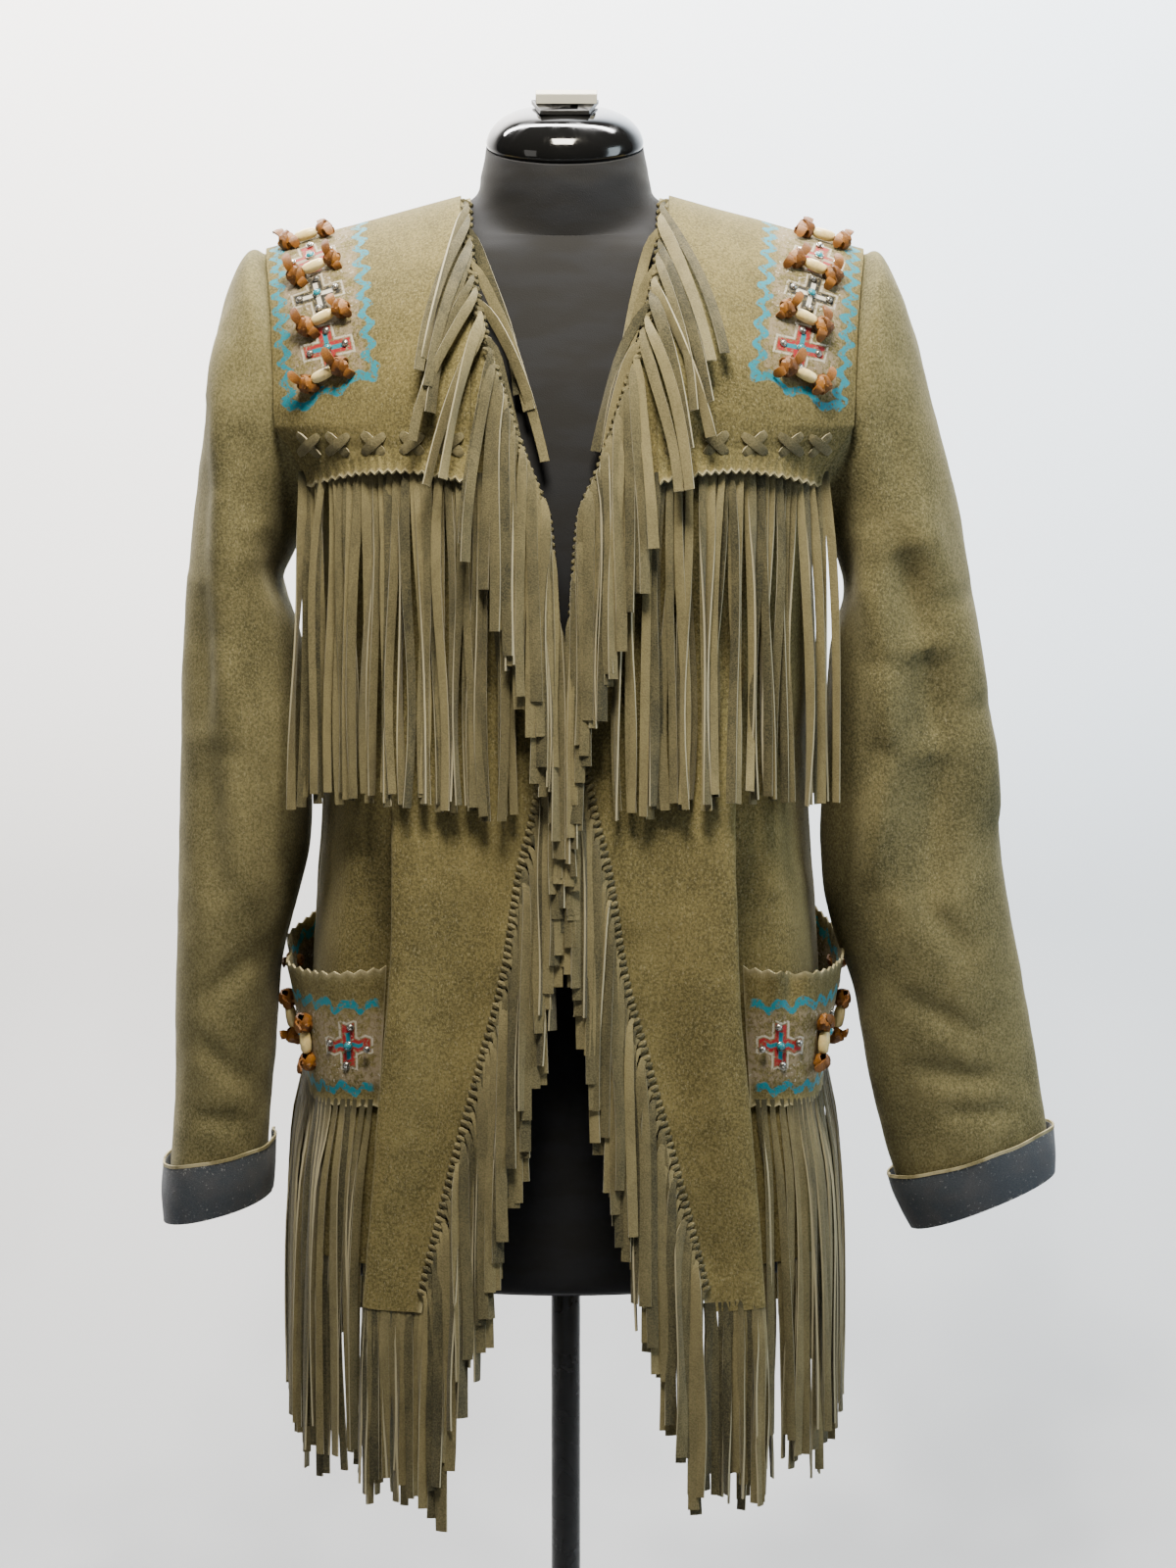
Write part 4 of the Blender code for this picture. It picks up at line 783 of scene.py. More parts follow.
def wall_with_wear(name, points, thickness, finish, widths, tube=False):
    piece = grid_wall(name, points, thickness, finish, tube)
    worn = edge_wear(points, widths).ravel()
    set_attribute(piece, "wear", np.concatenate([worn, worn]))
    return piece


# Strands

class Relief:
    """The foremost depth of what lies on one side of the front, over a raster of |x| and z."""

    STEP = 0.003

    def __init__(self, grids):
        self.table = np.full((90, 300), np.inf)
        for points in grids:
            flat = points.reshape(-1, 3)
            i, j = self.cell(flat[:, 0], flat[:, 2])
            np.minimum.at(self.table, (i, j), flat[:, 1])
        for _ in range(3):
            wide = np.pad(self.table, 1, constant_values=np.inf)
            near = np.minimum.reduce([wide[1 + a:91 + a, 1 + b:301 + b] for a in (-1, 0, 1) for b in (-1, 0, 1)])
            self.table = np.where(np.isinf(self.table), near, self.table)

    def cell(self, x, z):
        i = np.clip(((np.abs(x) + 0.03) / self.STEP).astype(int), 0, 89)
        j = np.clip(((z - 0.6) / self.STEP).astype(int), 0, 299)
        return i, j

    def at(self, x, z):
        """The foremost depth near a point, or nothing to touch: +1."""
        i, j = self.cell(np.asarray([x]), np.asarray([z]))
        around = self.table[max(i[0] - 1, 0):i[0] + 2, max(j[0] - 1, 0):j[0] + 2]
        found = around.min()
        return found if np.isfinite(found) else 1


@functools.cache
def relief(side, with_yoke):
    grids = [front_cloth(side), pocket_cloth(side)]
    if with_yoke:
        grids.append(yoke_cloth(side))
    return Relief(grids)


@functools.cache
def form_front(x, z):
    """Depth of the dress form in front, for strands that fall inside the neckline."""
    rows = np.array(FORM)
    half, front = np.interp(z, rows[:, 0], rows[:, 1]), np.interp(z, rows[:, 0], rows[:, 2])
    if z > 1.36:
        half, front = 0.165, 0.08 - 0.3 * (z - 1.36)
    share = min(1, abs(x) / half)
    return -front * math.sqrt(1 - share * share)


class Strands:
    """Collects cut strands, each a thin ribbon of four sides, into one mesh."""

    def __init__(self, thickness):
        self.thickness = thickness
        self.points, self.faces, self.tones, self.alongs, self.cuts = [], [], [], [], []
        self.count = 0

    def add(self, centres, outward, widths, twist, tone, curl=0.07):
        centres = np.asarray(centres, float)
        tangent = unit(np.gradient(centres, axis=0))
        side = unit(np.cross(tangent, outward))
        normal = np.cross(side, tangent)
        turn_cos, turn_sin = np.cos(twist)[:, None], np.sin(twist)[:, None]
        half = np.asarray(widths)[:, None] / 2
        face = normal * turn_cos - side * turn_sin
        across = (side * turn_cos + normal * turn_sin) * half
        thick = face * (self.thickness / 2)
        crown = face * half * curl
        n = len(centres)
        ring = np.stack([
            centres + across + thick - crown, centres + thick + crown, centres - across + thick - crown,
            centres - across - thick - crown, centres - thick + crown, centres + across - thick - crown,
        ], axis=1)
        start = self.count
        for k in range(n - 1):
            a, b = start + 6 * k, start + 6 * k + 6
            for i in range(6):
                m = (i + 1) % 6
                self.faces.append((a + i, b + i, b + m, a + m))
                self.cuts.append(float(i in (2, 5)))
        last = start + 6 * (n - 1)
        self.faces += [tuple(range(start, start + 6)), tuple(range(last + 5, last - 1, -1))]
        self.cuts += [1, 1]
        self.points.append(ring.reshape(-1, 3))
        self.tones.append(np.full(6 * n, tone))
        self.alongs.append(np.repeat(np.linspace(0, 1, n), 6))
        self.count += 6 * n

    def build(self, name, finish):
        piece = make_object(name, np.concatenate(self.points), self.faces, finish, sharp=40)
        set_attribute(piece, "strand", np.concatenate(self.tones))
        set_attribute(piece, "along", np.concatenate(self.alongs))
        set_attribute(piece, "cut", self.cuts, "FACE")
        return piece


def hang(x, y, z, length, lean, surface, gap, layer, steps, wave, rng, tucked=1):
    """Points of a strand from its root. It hangs plumb, and is pushed out by what it lies on.

    Tucked is the share of its gap that it keeps at the root.
    """
    drops = length * np.linspace(0, 1, steps) ** 1.15
    swing = wave * (rng.random(2) - 0.5)
    made = []
    front = y
    for drop in drops:
        t = drop / length
        here_x = x + lean * drop * (1 - 0.35 * t) + swing[0] * math.sin(2.6 * t) + 0.5 * swing[1] * math.sin(6 * t)
        here_z = z - drop * math.cos(math.atan(lean * 0.8))
        touch = surface(here_x, here_z)
        if touch < NOTHING:
            front = min(front, touch - gap * (tucked + (1 - tucked) * float(ease(0, 0.035, drop))))
        made.append((here_x, front - layer * drop, here_z))
    return np.array(made)


def soften(points):
    """Takes the corners out of a strand's path and leaves its two ends."""
    for _ in range(2):
        inner = 0.25 * points[:-2] + 0.5 * points[1:-1] + 0.25 * points[2:]
        points = np.concatenate([points[:1], inner, points[-1:]])
    return points


def strand_widths(width, steps, rng, root=0.8):
    """A little uneven, as cut by hand, and rolled narrower at the root."""
    t = np.linspace(0, 1, steps)
    rolled = np.interp(t, (0, 0.05, 0.25, 1), (root, root, 1, 1))
    return rolled * width * (0.86 + 0.26 * rng.random()) * (1 + 0.08 * np.sin(5 * t + 6 * rng.random()))


def twist_of(steps, rng, amount):
    t = np.linspace(0, 1, steps)
    turn = amount * (rng.random() - 0.5) * 2 * ease(0.02, 0.25 + 0.6 * rng.random(), t)
    return turn + 0.5 * amount * np.sin(5 * t + 6 * rng.random()) * t


OUT_FRONT = np.array((0, -1, 0))
NOTHING = 0.9  # a depth over this says that nothing is there to touch


def strand_start(side, seed, share=1):
    """What a fringe starts with: the sizes, its random draws, its strands, and the sign of X on its side."""
    s = sizes()
    rng = np.random.default_rng(seed + SIDES.index(side))
    return s, rng, Strands(s.thong * share), 1 if side == "left" else -1


def edge_place(bare, inward, z):
    """x of the front edge and the depth of the cloth just inside it."""
    edge = float(edge_x(z))
    depth = bare.at(edge + inward, z)
    return edge, depth if depth < NOTHING else float(chest_point(edge, z, -1)[1])


def chest_strands(side, finish):
    s, rng, made, sign = strand_start(side, 101)
    steps = 13
    low, high = 0.0345, 0.169

    def under_yoke(x, z):
        return relief(side, False).at(x, min(z, UNDER_YOKE_Z))

    for k in range(s.chest_count):
        x = low + (high - low) * (k + 0.5 + 0.9 * (rng.random() - 0.5)) / s.chest_count
        z = YOKE_LOW_Z + 0.0045 + yoke_arch((x - YOKE_IN_X) / (0.165 - YOKE_IN_X))
        y = chest_point(x, z, -1)[1] - 0.0009
        behind = k % 2
        length = s.chest_length * (0.975 + 0.05 * rng.random())
        gap = 0.0012 + 0.0034 * behind + 0.003 * rng.random()
        lean = 0.07 * (rng.random() - 0.5) + 0.02 * (x - 0.1) / 0.06 + 0.045 * float(ease(0.15, 0.169, x))
        path = hang(x, y, z, length, lean, under_yoke, gap, 0.004, steps, 0.011, rng, 0)
        path[:, 1] -= 0.0022 * ease(0.01, 0.05, z - path[:, 2])
        path = soften(path) * (sign, 1, 1)
        amount = 1.5 if rng.random() < 0.45 else 0.45
        widths = strand_widths(s.chest_strand, steps, rng, 0.8)
        made.add(path, OUT_FRONT, widths, twist_of(steps, rng, amount), rng.random())
    return made.build(f"chest_thongs_{side}", finish)


def edge_strands(side, finish):
    """Thongs drawn through holes along the front edge: over the edge, then down."""
    s, rng, made, sign = strand_start(side, 201)
    field, bare = relief(side, True), relief(side, False)
    z = TOP_THREAD
    k = 0
    while z > LOW_THREAD:
        edge, edge_y = edge_place(bare, 0.001, z)
        slope = float(edge_x(z + 0.004) - edge_x(z - 0.004)) / 0.008
        near_neck = float(ease(1.315, 1.375, z))
        inward = k % 3 == 2 and near_neck > 0.3
        if near_neck > 0.05:
            lean = near_neck * (0.24 + 0.34 * rng.random())
            if inward:
                lean = -near_neck * (0.3 + 0.28 * rng.random())
        else:
            lean = 0.09 * (rng.random() - 0.5)
        over_panel = slope > 0.05 and not inward
        length = s.edge_length * (0.92 + 0.16 * rng.random()) * (1 - 0.3 * near_neck)
        side_step = 0.007 * (rng.random() - 0.4)
        start_x = edge + (0.0015 if over_panel else -0.004) + (side_step if z < 1.3 else 0.4 * side_step)
        if z < 0.8:
            start_x = max(start_x, edge - 0.003)
        if not inward and z < 1.3:
            start_x = max(start_x, 0.003)
        surface = form_front if inward else field.at
        gap = 0.002 + 0.0026 * (k % 2) + 0.0015 * rng.random()
        steps = 11
        touch = surface(start_x, z - 0.006)
        drop_y = min(edge_y - 0.0042, touch - gap if touch < NOTHING else 0)
        tail = hang(start_x, drop_y, z - 0.0045, length, lean, surface, gap, 0.075, steps, 0.005, rng)
        root = np.array([
            (edge + 0.003, edge_y + 0.0006, z + 0.0022),
            (edge + 0.0016, edge_y - 0.0016, z + 0.0018),
            (edge - 0.001, edge_y - 0.003, z + 0.0002),
        ])
        path = soften(np.concatenate([root, tail])) * (sign, 1, 1)
        n = len(path)
        widths = strand_widths(s.edge_strand, n, rng, 0.85)
        widths[:4] *= (0.45, 0.5, 0.6, 0.85)
        turn = twist_of(n, rng, 1 if rng.random() < 0.35 else 0.35)
        made.add(path, OUT_FRONT, widths, turn, rng.random())
        z -= s.edge_pitch * (0.9 + 0.2 * rng.random()) * (1 + 0.25 * near_neck)
        k += 1
    whip_edge(made, bare, sign, rng)
    return made.build(f"edge_thongs_{side}", finish)


def whip_edge(made, bare, sign, rng):
    """Short turns of thong wound over the front edge from hole to hole."""
    z = TOP_THREAD + 0.0025
    while z > LOW_THREAD:
        edge, y = edge_place(bare, 0.003, z)
        path = np.array([
            (edge + 0.0052, y + 0.0004, z + 0.0024), (edge + 0.004, y - 0.0012, z + 0.0018),
            (edge + 0.0012, y - 0.0017, z + 0.0002), (edge - 0.0012, y - 0.0006, z - 0.0012),
            (edge - 0.0015, y + 0.0022, z - 0.002),
        ]) * (sign, 1, 1)
        widths = np.array((0.0014, 0.003, 0.0034, 0.0032, 0.0024)) * (0.9 + 0.2 * rng.random())
        made.add(path, OUT_FRONT, widths, np.zeros(5), 0.2 + 0.7 * rng.random(), 0.2)
        z -= 0.0046 * (0.92 + 0.16 * rng.random())


def section_strands(made, starts, root_z, lengths, width, gap, sign, rng, steps=12):
    """Strands that hang along the section of the body, from the pockets and the hem."""
    for along, top, length in zip(starts, root_z, lengths):
        z = top - length * np.linspace(0, 1, steps) ** 1.1
        t = np.linspace(0, 1, steps)
        sway = 0.03 * (rng.random() - 0.5)
        here = np.clip(along + sway * ease(0, 1, t) + 0.012 * (rng.random() - 0.5) * np.sin(4 * t), 0, 2)
        level = np.maximum(z, hem_z(here))
        normal = body_normal(here, level)
        normal[..., 2] = 0
        normal = unit(normal)
        centre = body_point(here, level)
        off = gap + 0.0034 * rng.random() * ease(0, 0.3, t)
        off = off + 0.005 * (rng.random() - 0.35) * ease(0.2, 1, t)
        path = centre + normal * off[:, None]
        path[:, 2] = z
        path = soften(path) * (sign, 1, 1)
        amount = 1.35 if rng.random() < 0.5 else 0.5
        out = unit(normal[0] * (sign, 1, 1))
        made.add(path, out, strand_widths(width, steps, rng, 0.62), twist_of(steps, rng, amount), rng.random())


def pocket_strands(side, finish):
    s, rng, made, sign = strand_start(side, 301)
    n = s.pocket_count
    share = (np.arange(n) + rng.random(n) * 0.5 + 0.25) / n
    starts = POCKET_FROM + 0.008 + (POCKET_TO - POCKET_FROM - 0.016) * share
    tops = curve(POCKET, "bottom_z", starts) + 0.004
    lengths = s.pocket_length * (0.95 + 0.09 * rng.random(n))
    section_strands(made, starts, tops, lengths, s.hem_strand, 0.0016, sign, rng, 14)
    # they stand off the hem fringe behind them
    for points in made.points:
        away = points - (0, 0.02, 0)
        away[:, 2] = 0
        drop = ease(0, 0.06, points[:, 2].max() - points[:, 2])[:, None]
        points += unit(away) * 0.0045 * drop
    return made.build(f"pocket_thongs_{side}", finish)


def hem_strands(side, finish):
    """The hem is cut into strands: front and side of one half."""
    s, rng, made, sign = strand_start(side, 401, 1.1)
    for low, high, count, length in ((-0.012, 0.47, 17, 0.116), (0.48, 0.992, 28, 0.14)):
        starts = low + (high - low) * (np.arange(count) + 0.5 + 0.5 * (rng.random(count) - 0.5)) / count
        starts = np.maximum(starts, 0)
        lengths = length * (0.88 + 0.22 * rng.random(count)) + 0.006
        tops = hem_z(starts) + 0.006
        section_strands(made, starts, tops, lengths, s.hem_strand, -0.0012, sign, rng)
    return made.build(f"hem_thongs_{side}", finish)


def back_strands(finish):
    s = sizes()
    rng = np.random.default_rng(501)
    made = Strands(s.thong * 1.1)
    for sign in (1, -1):
        count = 48
        starts = 1.008 + 0.988 * (np.arange(count) + 0.5 + 0.3 * (rng.random(count) - 0.5)) / count
        lengths = 0.125 * (0.93 + 0.14 * rng.random(count)) + 0.01
        section_strands(made, starts, hem_z(starts) + 0.01, lengths, s.hem_strand, -0.0012, sign, rng)
    return made.build("hem_thongs_back", finish)


# Pieces shaped one by one

def add_primitive(kind, name, **how):
    """A primitive with nothing else selected, in edit mode and selected all over."""
    bpy.ops.object.select_all(action="DESELECT")
    getattr(bpy.ops.mesh, f"primitive_{kind}_add")(**how)
    piece = bpy.context.object
    piece.name = name
    piece.data.name = name
    bpy.ops.object.mode_set(mode="EDIT")
    bpy.ops.mesh.select_all(action="SELECT")
    return piece


def choose(piece, kind, test):
    """Selects the faces or edges that pass a test."""
    bpy.ops.mesh.select_mode(type=kind)
    bpy.ops.mesh.select_all(action="DESELECT")
    shape = bmesh.from_edit_mesh(piece.data)
    for element in (shape.faces if kind == "FACE" else shape.edges):
        if test(element):
            element.select_set(True)
    shape.select_flush_mode()
    bmesh.update_edit_mesh(piece.data)


def leave(piece, angle=35, finish=None):
    """Back to object mode with the mesh at its place and its shading set."""
    bpy.ops.object.mode_set(mode="OBJECT")
    bpy.ops.object.select_all(action="DESELECT")
    piece.select_set(True)
    bpy.context.view_layer.objects.active = piece
    bpy.ops.object.transform_apply(location=True, rotation=True, scale=True)
    bpy.ops.object.shade_smooth_by_angle(angle=math.radians(angle))
    if finish:
        piece.data.materials.clear()
        piece.data.materials.append(finish)
    return piece


def apply_modifier(piece, kind, **settings):
    """Adds a modifier to the active piece and applies it."""
    bpy.context.view_layer.objects.active = piece
    modifier = piece.modifiers.new(kind.lower(), kind)
    for key, value in settings.items():
        setattr(modifier, key, value)
    bpy.ops.object.modifier_apply(modifier=modifier.name)


def turned_up(name, profile, sides, finish, angle=35):
    """A round piece raised from a circle by extruding and scaling its rim. Profile is (height, radius)."""
    height, radius = profile[0]
    piece = add_primitive("circle", name, vertices=sides, radius=radius, location=(0, 0, height), fill_type="NGON")
    bpy.ops.object.mode_set(mode="OBJECT")
    bpy.ops.object.transform_apply(location=True)
    bpy.ops.object.mode_set(mode="EDIT")
    choose(piece, "EDGE", lambda edge: True)
    for at, wide in profile[1:]:
        bpy.ops.mesh.extrude_edges_move(TRANSFORM_OT_translate={"value": (0, 0, at - height)})
        share = wide / radius
        bpy.ops.transform.resize(value=(share, share, 1), center_override=(0, 0, at))
        height, radius = at, wide
    bpy.ops.mesh.edge_face_add()
    bpy.ops.mesh.select_all(action="SELECT")
    bpy.ops.mesh.normals_make_consistent(inside=False)
    return leave(piece, angle, finish)


def moved_copy(source, name, matrix):
    """A copy with its own mesh, placed by a matrix."""
    copy = source.copy()
    copy.data = source.data.copy()
    copy.name = name
    copy.data.transform(matrix)
    if matrix.determinant() < 0:
        copy.data.flip_normals()
    bpy.context.scene.collection.objects.link(copy)
    return copy


def joined(name, pieces):
    """Several pieces as one object."""
    bpy.ops.object.select_all(action="DESELECT")
    for piece in pieces:
        piece.select_set(True)
    bpy.context.view_layer.objects.active = pieces[0]
    bpy.ops.object.join()
    pieces[0].name = name
    pieces[0].data.name = name
    return pieces[0]


def surface_frame(point, normal, axis):
    """Local X along the axis in the surface, local Z along the normal."""
    normal, axis = Vector(normal).normalized(), Vector(axis)
    axis = (axis - normal * axis.dot(normal)).normalized()
    placed = Matrix((axis, normal.cross(axis), normal)).transposed().to_4x4()
    placed.translation = Vector(point)
    return placed


def for_side(matrix, side):
    return matrix if side == "left" else Matrix.Scale(-1, 4, (1, 0, 0)) @ matrix


def yoke_frame(x, z, lift, tilt):
    """A place on the yoke, its local X turned up by the tilt in degrees."""
    tilt = math.radians(tilt)
    normal = chest_normal(x, z, -1)
    off = float(yoke_lift(normal)) + OVERLAY + 0.0003 + lift
    return surface_frame(chest_point(x, z, -1) + normal * off, normal, (math.cos(tilt), 0, math.sin(tilt)))


def pocket_frame(along, height, lift):
    """A place on the pocket, its local X upward."""
    low, high = float(curve(POCKET, "bottom_z", along)), float(curve(POCKET, "mouth_z", along))

    def at(h):
        z = low + (high - low) * h
        n = body_normal(along, z)
        return body_point(along, z) + n * (POCKET_LIFT + OVERLAY + float(pocket_bulge(along, h))), n

    point, normal = at(height)
    upward = Vector(at(min(height + 0.2, 1))[0] - at(height - 0.2)[0]).normalized()
    sideways = upward.cross(Vector(normal)).normalized()
    normal = sideways.cross(upward).normalized()
    return surface_frame(Vector(point) + normal * lift, normal, upward)


def toggle_frames(side):
    """Places of the beads: four on the shoulder, three on the pocket."""
    frames = [yoke_frame(x, z, BEAD_LIFT, tilt) for x, z, tilt in SHOULDER_TOGGLES]
    frames += [pocket_frame(along, height, BEAD_LIFT) for along, height in POCKET_TOGGLES]
    return [for_side(placed, side) for placed in frames]


def cross_frames(side):
    """Places of the painted crosses: three on the shoulder, three on the pocket."""
    frames = [yoke_frame(x, z, 0, tilt) for x, z, tilt in SHOULDER_CROSSES]
    frames += [pocket_frame(along, height, 0.0003) @ Matrix.Rotation(math.radians(tilt), 4, "Z")
               for along, height, tilt in POCKET_CROSSES]
    return [for_side(placed, side) for placed in frames]


def model_bead(finish):
    """A bone barrel bead, drilled through."""
    length = sizes().bead
    bead = add_primitive("cylinder", "bone_bead", vertices=20, radius=BEAD_RADIUS, depth=length)
    for height, share in ((0, 1.72), (0.35, 1.55), (-0.35, 1.55), (0.44, 1.3), (-0.44, 1.3)):
        bpy.ops.mesh.select_all(action="SELECT")
        bpy.ops.mesh.bisect(plane_co=(0, 0, height * length), plane_no=(0, 0, 1))
        choose(bead, "EDGE", lambda e: all(abs(v.co.z - height * length) < 1e-5 for v in e.verts))
        wide = max(v.co.xy.length for e in bmesh.from_edit_mesh(bead.data).edges if e.select for v in e.verts)
        share *= BEAD_RADIUS / wide
        bpy.ops.transform.resize(value=(share, share, 1), center_override=(0, 0, 0))
    choose(bead, "FACE", lambda f: abs(f.normal.z) > 0.99)
    bpy.ops.mesh.inset(thickness=0.0008)
    bpy.ops.mesh.inset(thickness=0.0003, depth=-0.003)
    choose(bead, "EDGE", lambda e: all(abs(abs(v.co.z) - length / 2) < 1e-4 for v in e.verts) and e.is_manifold
           and max(f.normal.z * math.copysign(1, e.verts[0].co.z) for f in e.link_faces) > 0.9)
    bpy.ops.mesh.bevel(offset=0.0005, segments=2)
    bpy.ops.mesh.select_all(action="SELECT")
    bpy.ops.transform.rotate(value=math.pi / 2, orient_axis="Y", center_override=(0, 0, 0))
    bpy.ops.mesh.normals_make_consistent(inside=False)
    return leave(bead, 50, finish)


def model_knot(name, seed, finish):
    """A knotted rust thong: a few tight turns and two loose ends, with its middle at the origin."""
    rng = np.random.default_rng(seed)
    made = Strands(0.0011)
    for turn, (lean, swing) in enumerate(((0.15, 0.2), (0.95, 1.3), (-0.85, 2.6))):
        steps = 15
        angle = np.linspace(0, 2 * math.pi * 0.93, steps) + 2.1 * turn
        radius = 0.0036 + 0.0004 * turn + 0.0003 * rng.random()
        ring = np.stack([0.0005 * np.sin(2 * angle), radius * np.cos(angle), radius * np.sin(angle)], axis=1)
        placed = np.array(Matrix.Rotation(swing, 3, "X") @ Matrix.Rotation(lean, 3, "Z"))
        path = ring @ placed.T
        made.add(path, unit(path), np.full(steps, 0.0046), 0.5 * np.sin(3 * angle), rng.random(), 0.16)
    for end in (-1, 1):
        steps = 7
        t = np.linspace(0, 1, steps)
        reach = 0.0045 + 0.005 * rng.random()
        path = np.stack([
            end * 0.0012 + 0.005 * (rng.random() - 0.5) * t,
            end * (0.003 + reach * t), 0.0026 + 0.0022 * np.sin(3 * t) - 0.0034 * t,
        ], axis=1)
        widths = np.interp(t, (0, 0.35, 0.85, 1), (0.0036, 0.0052, 0.0046, 0.002))
        made.add(path, np.array((0, 0, 1)), widths, 0.9 * (rng.random() - 0.5) * t, rng.random())
    return made.build(name, finish)


def model_stud(finish):
    """A domed silver stud on a thin rim."""
    half = sizes().stud / 2
    stud = add_primitive(
        "cylinder", "silver_stud", vertices=14, radius=half, depth=0.0006, location=(0, 0, 0.0003))
    choose(stud, "FACE", lambda f: f.normal.z > 0.9)
    bpy.ops.mesh.inset(thickness=half * 0.16)
    for depth, share in ((0.00075, 0.8), (0.00045, 0.55)):
        bpy.ops.mesh.extrude_region_move(TRANSFORM_OT_translate={"value": (0, 0, depth)})
        bpy.ops.transform.resize(value=(share, share, 1), center_override=(0, 0, 0))
    bpy.ops.mesh.bevel(offset=0.0002, segments=1)
    return leave(stud, 45, finish)


def model_stone(silver, turquoise):
    """A turquoise stone in a silver setting."""
    setting = add_primitive(
        "cylinder", "setting", vertices=18, radius=0.0031, depth=0.0014, location=(0, 0, 0.0007))
    choose(setting, "FACE", lambda f: f.normal.z > 0.9)
    bpy.ops.mesh.inset(thickness=0.0004)
    bpy.ops.mesh.extrude_region_move(TRANSFORM_OT_translate={"value": (0, 0, -0.0005)})
    choose(setting, "EDGE", lambda e: all(v.co.z > 0.0006 for v in e.verts) and e.calc_face_angle(0) > 0.9)
    bpy.ops.mesh.bevel(offset=0.00015, segments=1)
    leave(setting, 40, silver)
    stone = add_primitive("uv_sphere", "stone", segments=18, ring_count=10, radius=0.0026, location=(0, 0, 0.0009))
    bpy.ops.transform.resize(value=(1, 1, 0.72), center_override=(0, 0, 0.0009))
    bpy.ops.mesh.bisect(plane_co=(0, 0, 0.0007), plane_no=(0, 0, 1), clear_inner=True, use_fill=True)
    leave(stone, 60, turquoise)
    return joined("set_stone", [setting, stone])


# Materials

class Nodes:
    """Adds nodes to one tree. A socket takes a number, a colour or another node's output."""

    def __init__(self, tree):
        self.tree = tree

    def feed(self, socket, value):
        if isinstance(value, bpy.types.NodeSocket):
            self.tree.links.new(value, socket)
        else:
            socket.default_value = value

    def put(self, kind, settings=(), **sockets):
        """A node with its settings. A socket is given by its name, or by its number as _0, _1."""
        node = self.tree.nodes.new("ShaderNode" + kind)
        for key, value in dict(settings).items():
            setattr(node, key, value)
        for key, value in sockets.items():
            self.feed(node.inputs[int(key[1:]) if key[0] == "_" else key.replace("_", " ")], value)
        return node

    def group(self, tree, **sockets):
        return self.put("Group", {"node_tree": tree}, **sockets).outputs

    def maths(self, operation, *values, clamp=False):
        sockets = {f"_{i}": value for i, value in enumerate(values)}
        return self.put("Math", {"operation": operation, "use_clamp": clamp}, **sockets).outputs[0]

    def times(self, a, b):
        return self.maths("MULTIPLY", a, b)

    def plus(self, a, b, clamp=False):
        return self.maths("ADD", a, b, clamp=clamp)

    def minus(self, a, b):
        return self.maths("SUBTRACT", a, b)

    def size_of(self, value):
        return self.maths("ABSOLUTE", value)

    def vector(self, operation, a, b):
        return self.put("VectorMath", {"operation": operation}, _0=a, _1=b).outputs[0]

    def split(self, vector):
        return self.put("SeparateXYZ", (), Vector=vector).outputs

    def mixed(self, factor, a, b):
        """Two colours mixed."""
        return self.put("Mix", {"data_type": "RGBA"}, _0=factor, _6=a, _7=b).outputs[2]

    def ranged(self, value, low, high, to_low=0, to_high=1):
        """A value brought from one range to another, smooth and held at both ends."""
        return self.put("MapRange", {"interpolation_type": "SMOOTHSTEP"}, Value=value, From_Min=low, From_Max=high,
                        To_Min=to_low, To_Max=to_high).outputs[0]

    def speckle(self, position, scale, detail=2, roughness=0.5, distortion=0, across=(1, 1, 1)):
        """Soft noise. Across under 1 makes it run long that way."""
        if across != (1, 1, 1):
            position = self.vector("MULTIPLY", position, across)
        return self.put("TexNoise", (), Vector=position, Scale=scale, Detail=detail, Roughness=roughness,
                        Distortion=distortion).outputs[0]


class Group(Nodes):
    """A node group with named inputs and outputs. It is built once and placed in each material."""

    def __init__(self, name, inputs, outputs):
        super().__init__(bpy.data.node_groups.new(name, "ShaderNodeTree"))
        for way, sockets in (("INPUT", inputs), ("OUTPUT", outputs)):
            for label, kind in sockets.items():
                self.tree.interface.new_socket(name=label, in_out=way, socket_type="NodeSocket" + kind)
        self.given = list(self.tree.nodes.new("NodeGroupInput").outputs)[:len(inputs)]
        self.out = self.tree.nodes.new("NodeGroupOutput").inputs

    def made(self, **values):
        for key, value in values.items():
            self.feed(self.out[key], value)
        return self.tree


class Finish(Nodes):
    """A material. What is the same all over is set on the shader's own sockets."""

    def __init__(self, name, roughness, metallic=0, **constants):
        self.material = bpy.data.materials.new(name)
        self.material.use_nodes = True
        super().__init__(self.material.node_tree)
        self.shader = self.tree.nodes["Principled BSDF"].inputs
        for key, value in {"Roughness": roughness, "Metallic": metallic, **constants}.items():
            self.shader[key.replace("_", " ")].default_value = value

    def position(self):
        return self.put("TexCoord").outputs["Object"]

    def attribute(self, name):
        return self.put("Attribute", {"attribute_name": name}).outputs["Fac"]

    def made(self, bump=None, **values):
        """The material with its shader fed. A bump is its height, strength and distance."""
        if bump:
            height, strength, distance = bump
            values["Normal"] = self.put("Bump", (), Strength=strength, Distance=distance, Height=height).outputs[0]
        for key, value in values.items():
            self.feed(self.shader[key.replace("_", " ")], value)
        return self.material


COLOUR_AND_HEIGHT = {"Color": "Color", "Height": "Float"}
COLOUR_AND_MASK = {"Color": "Color", "Mask": "Float"}


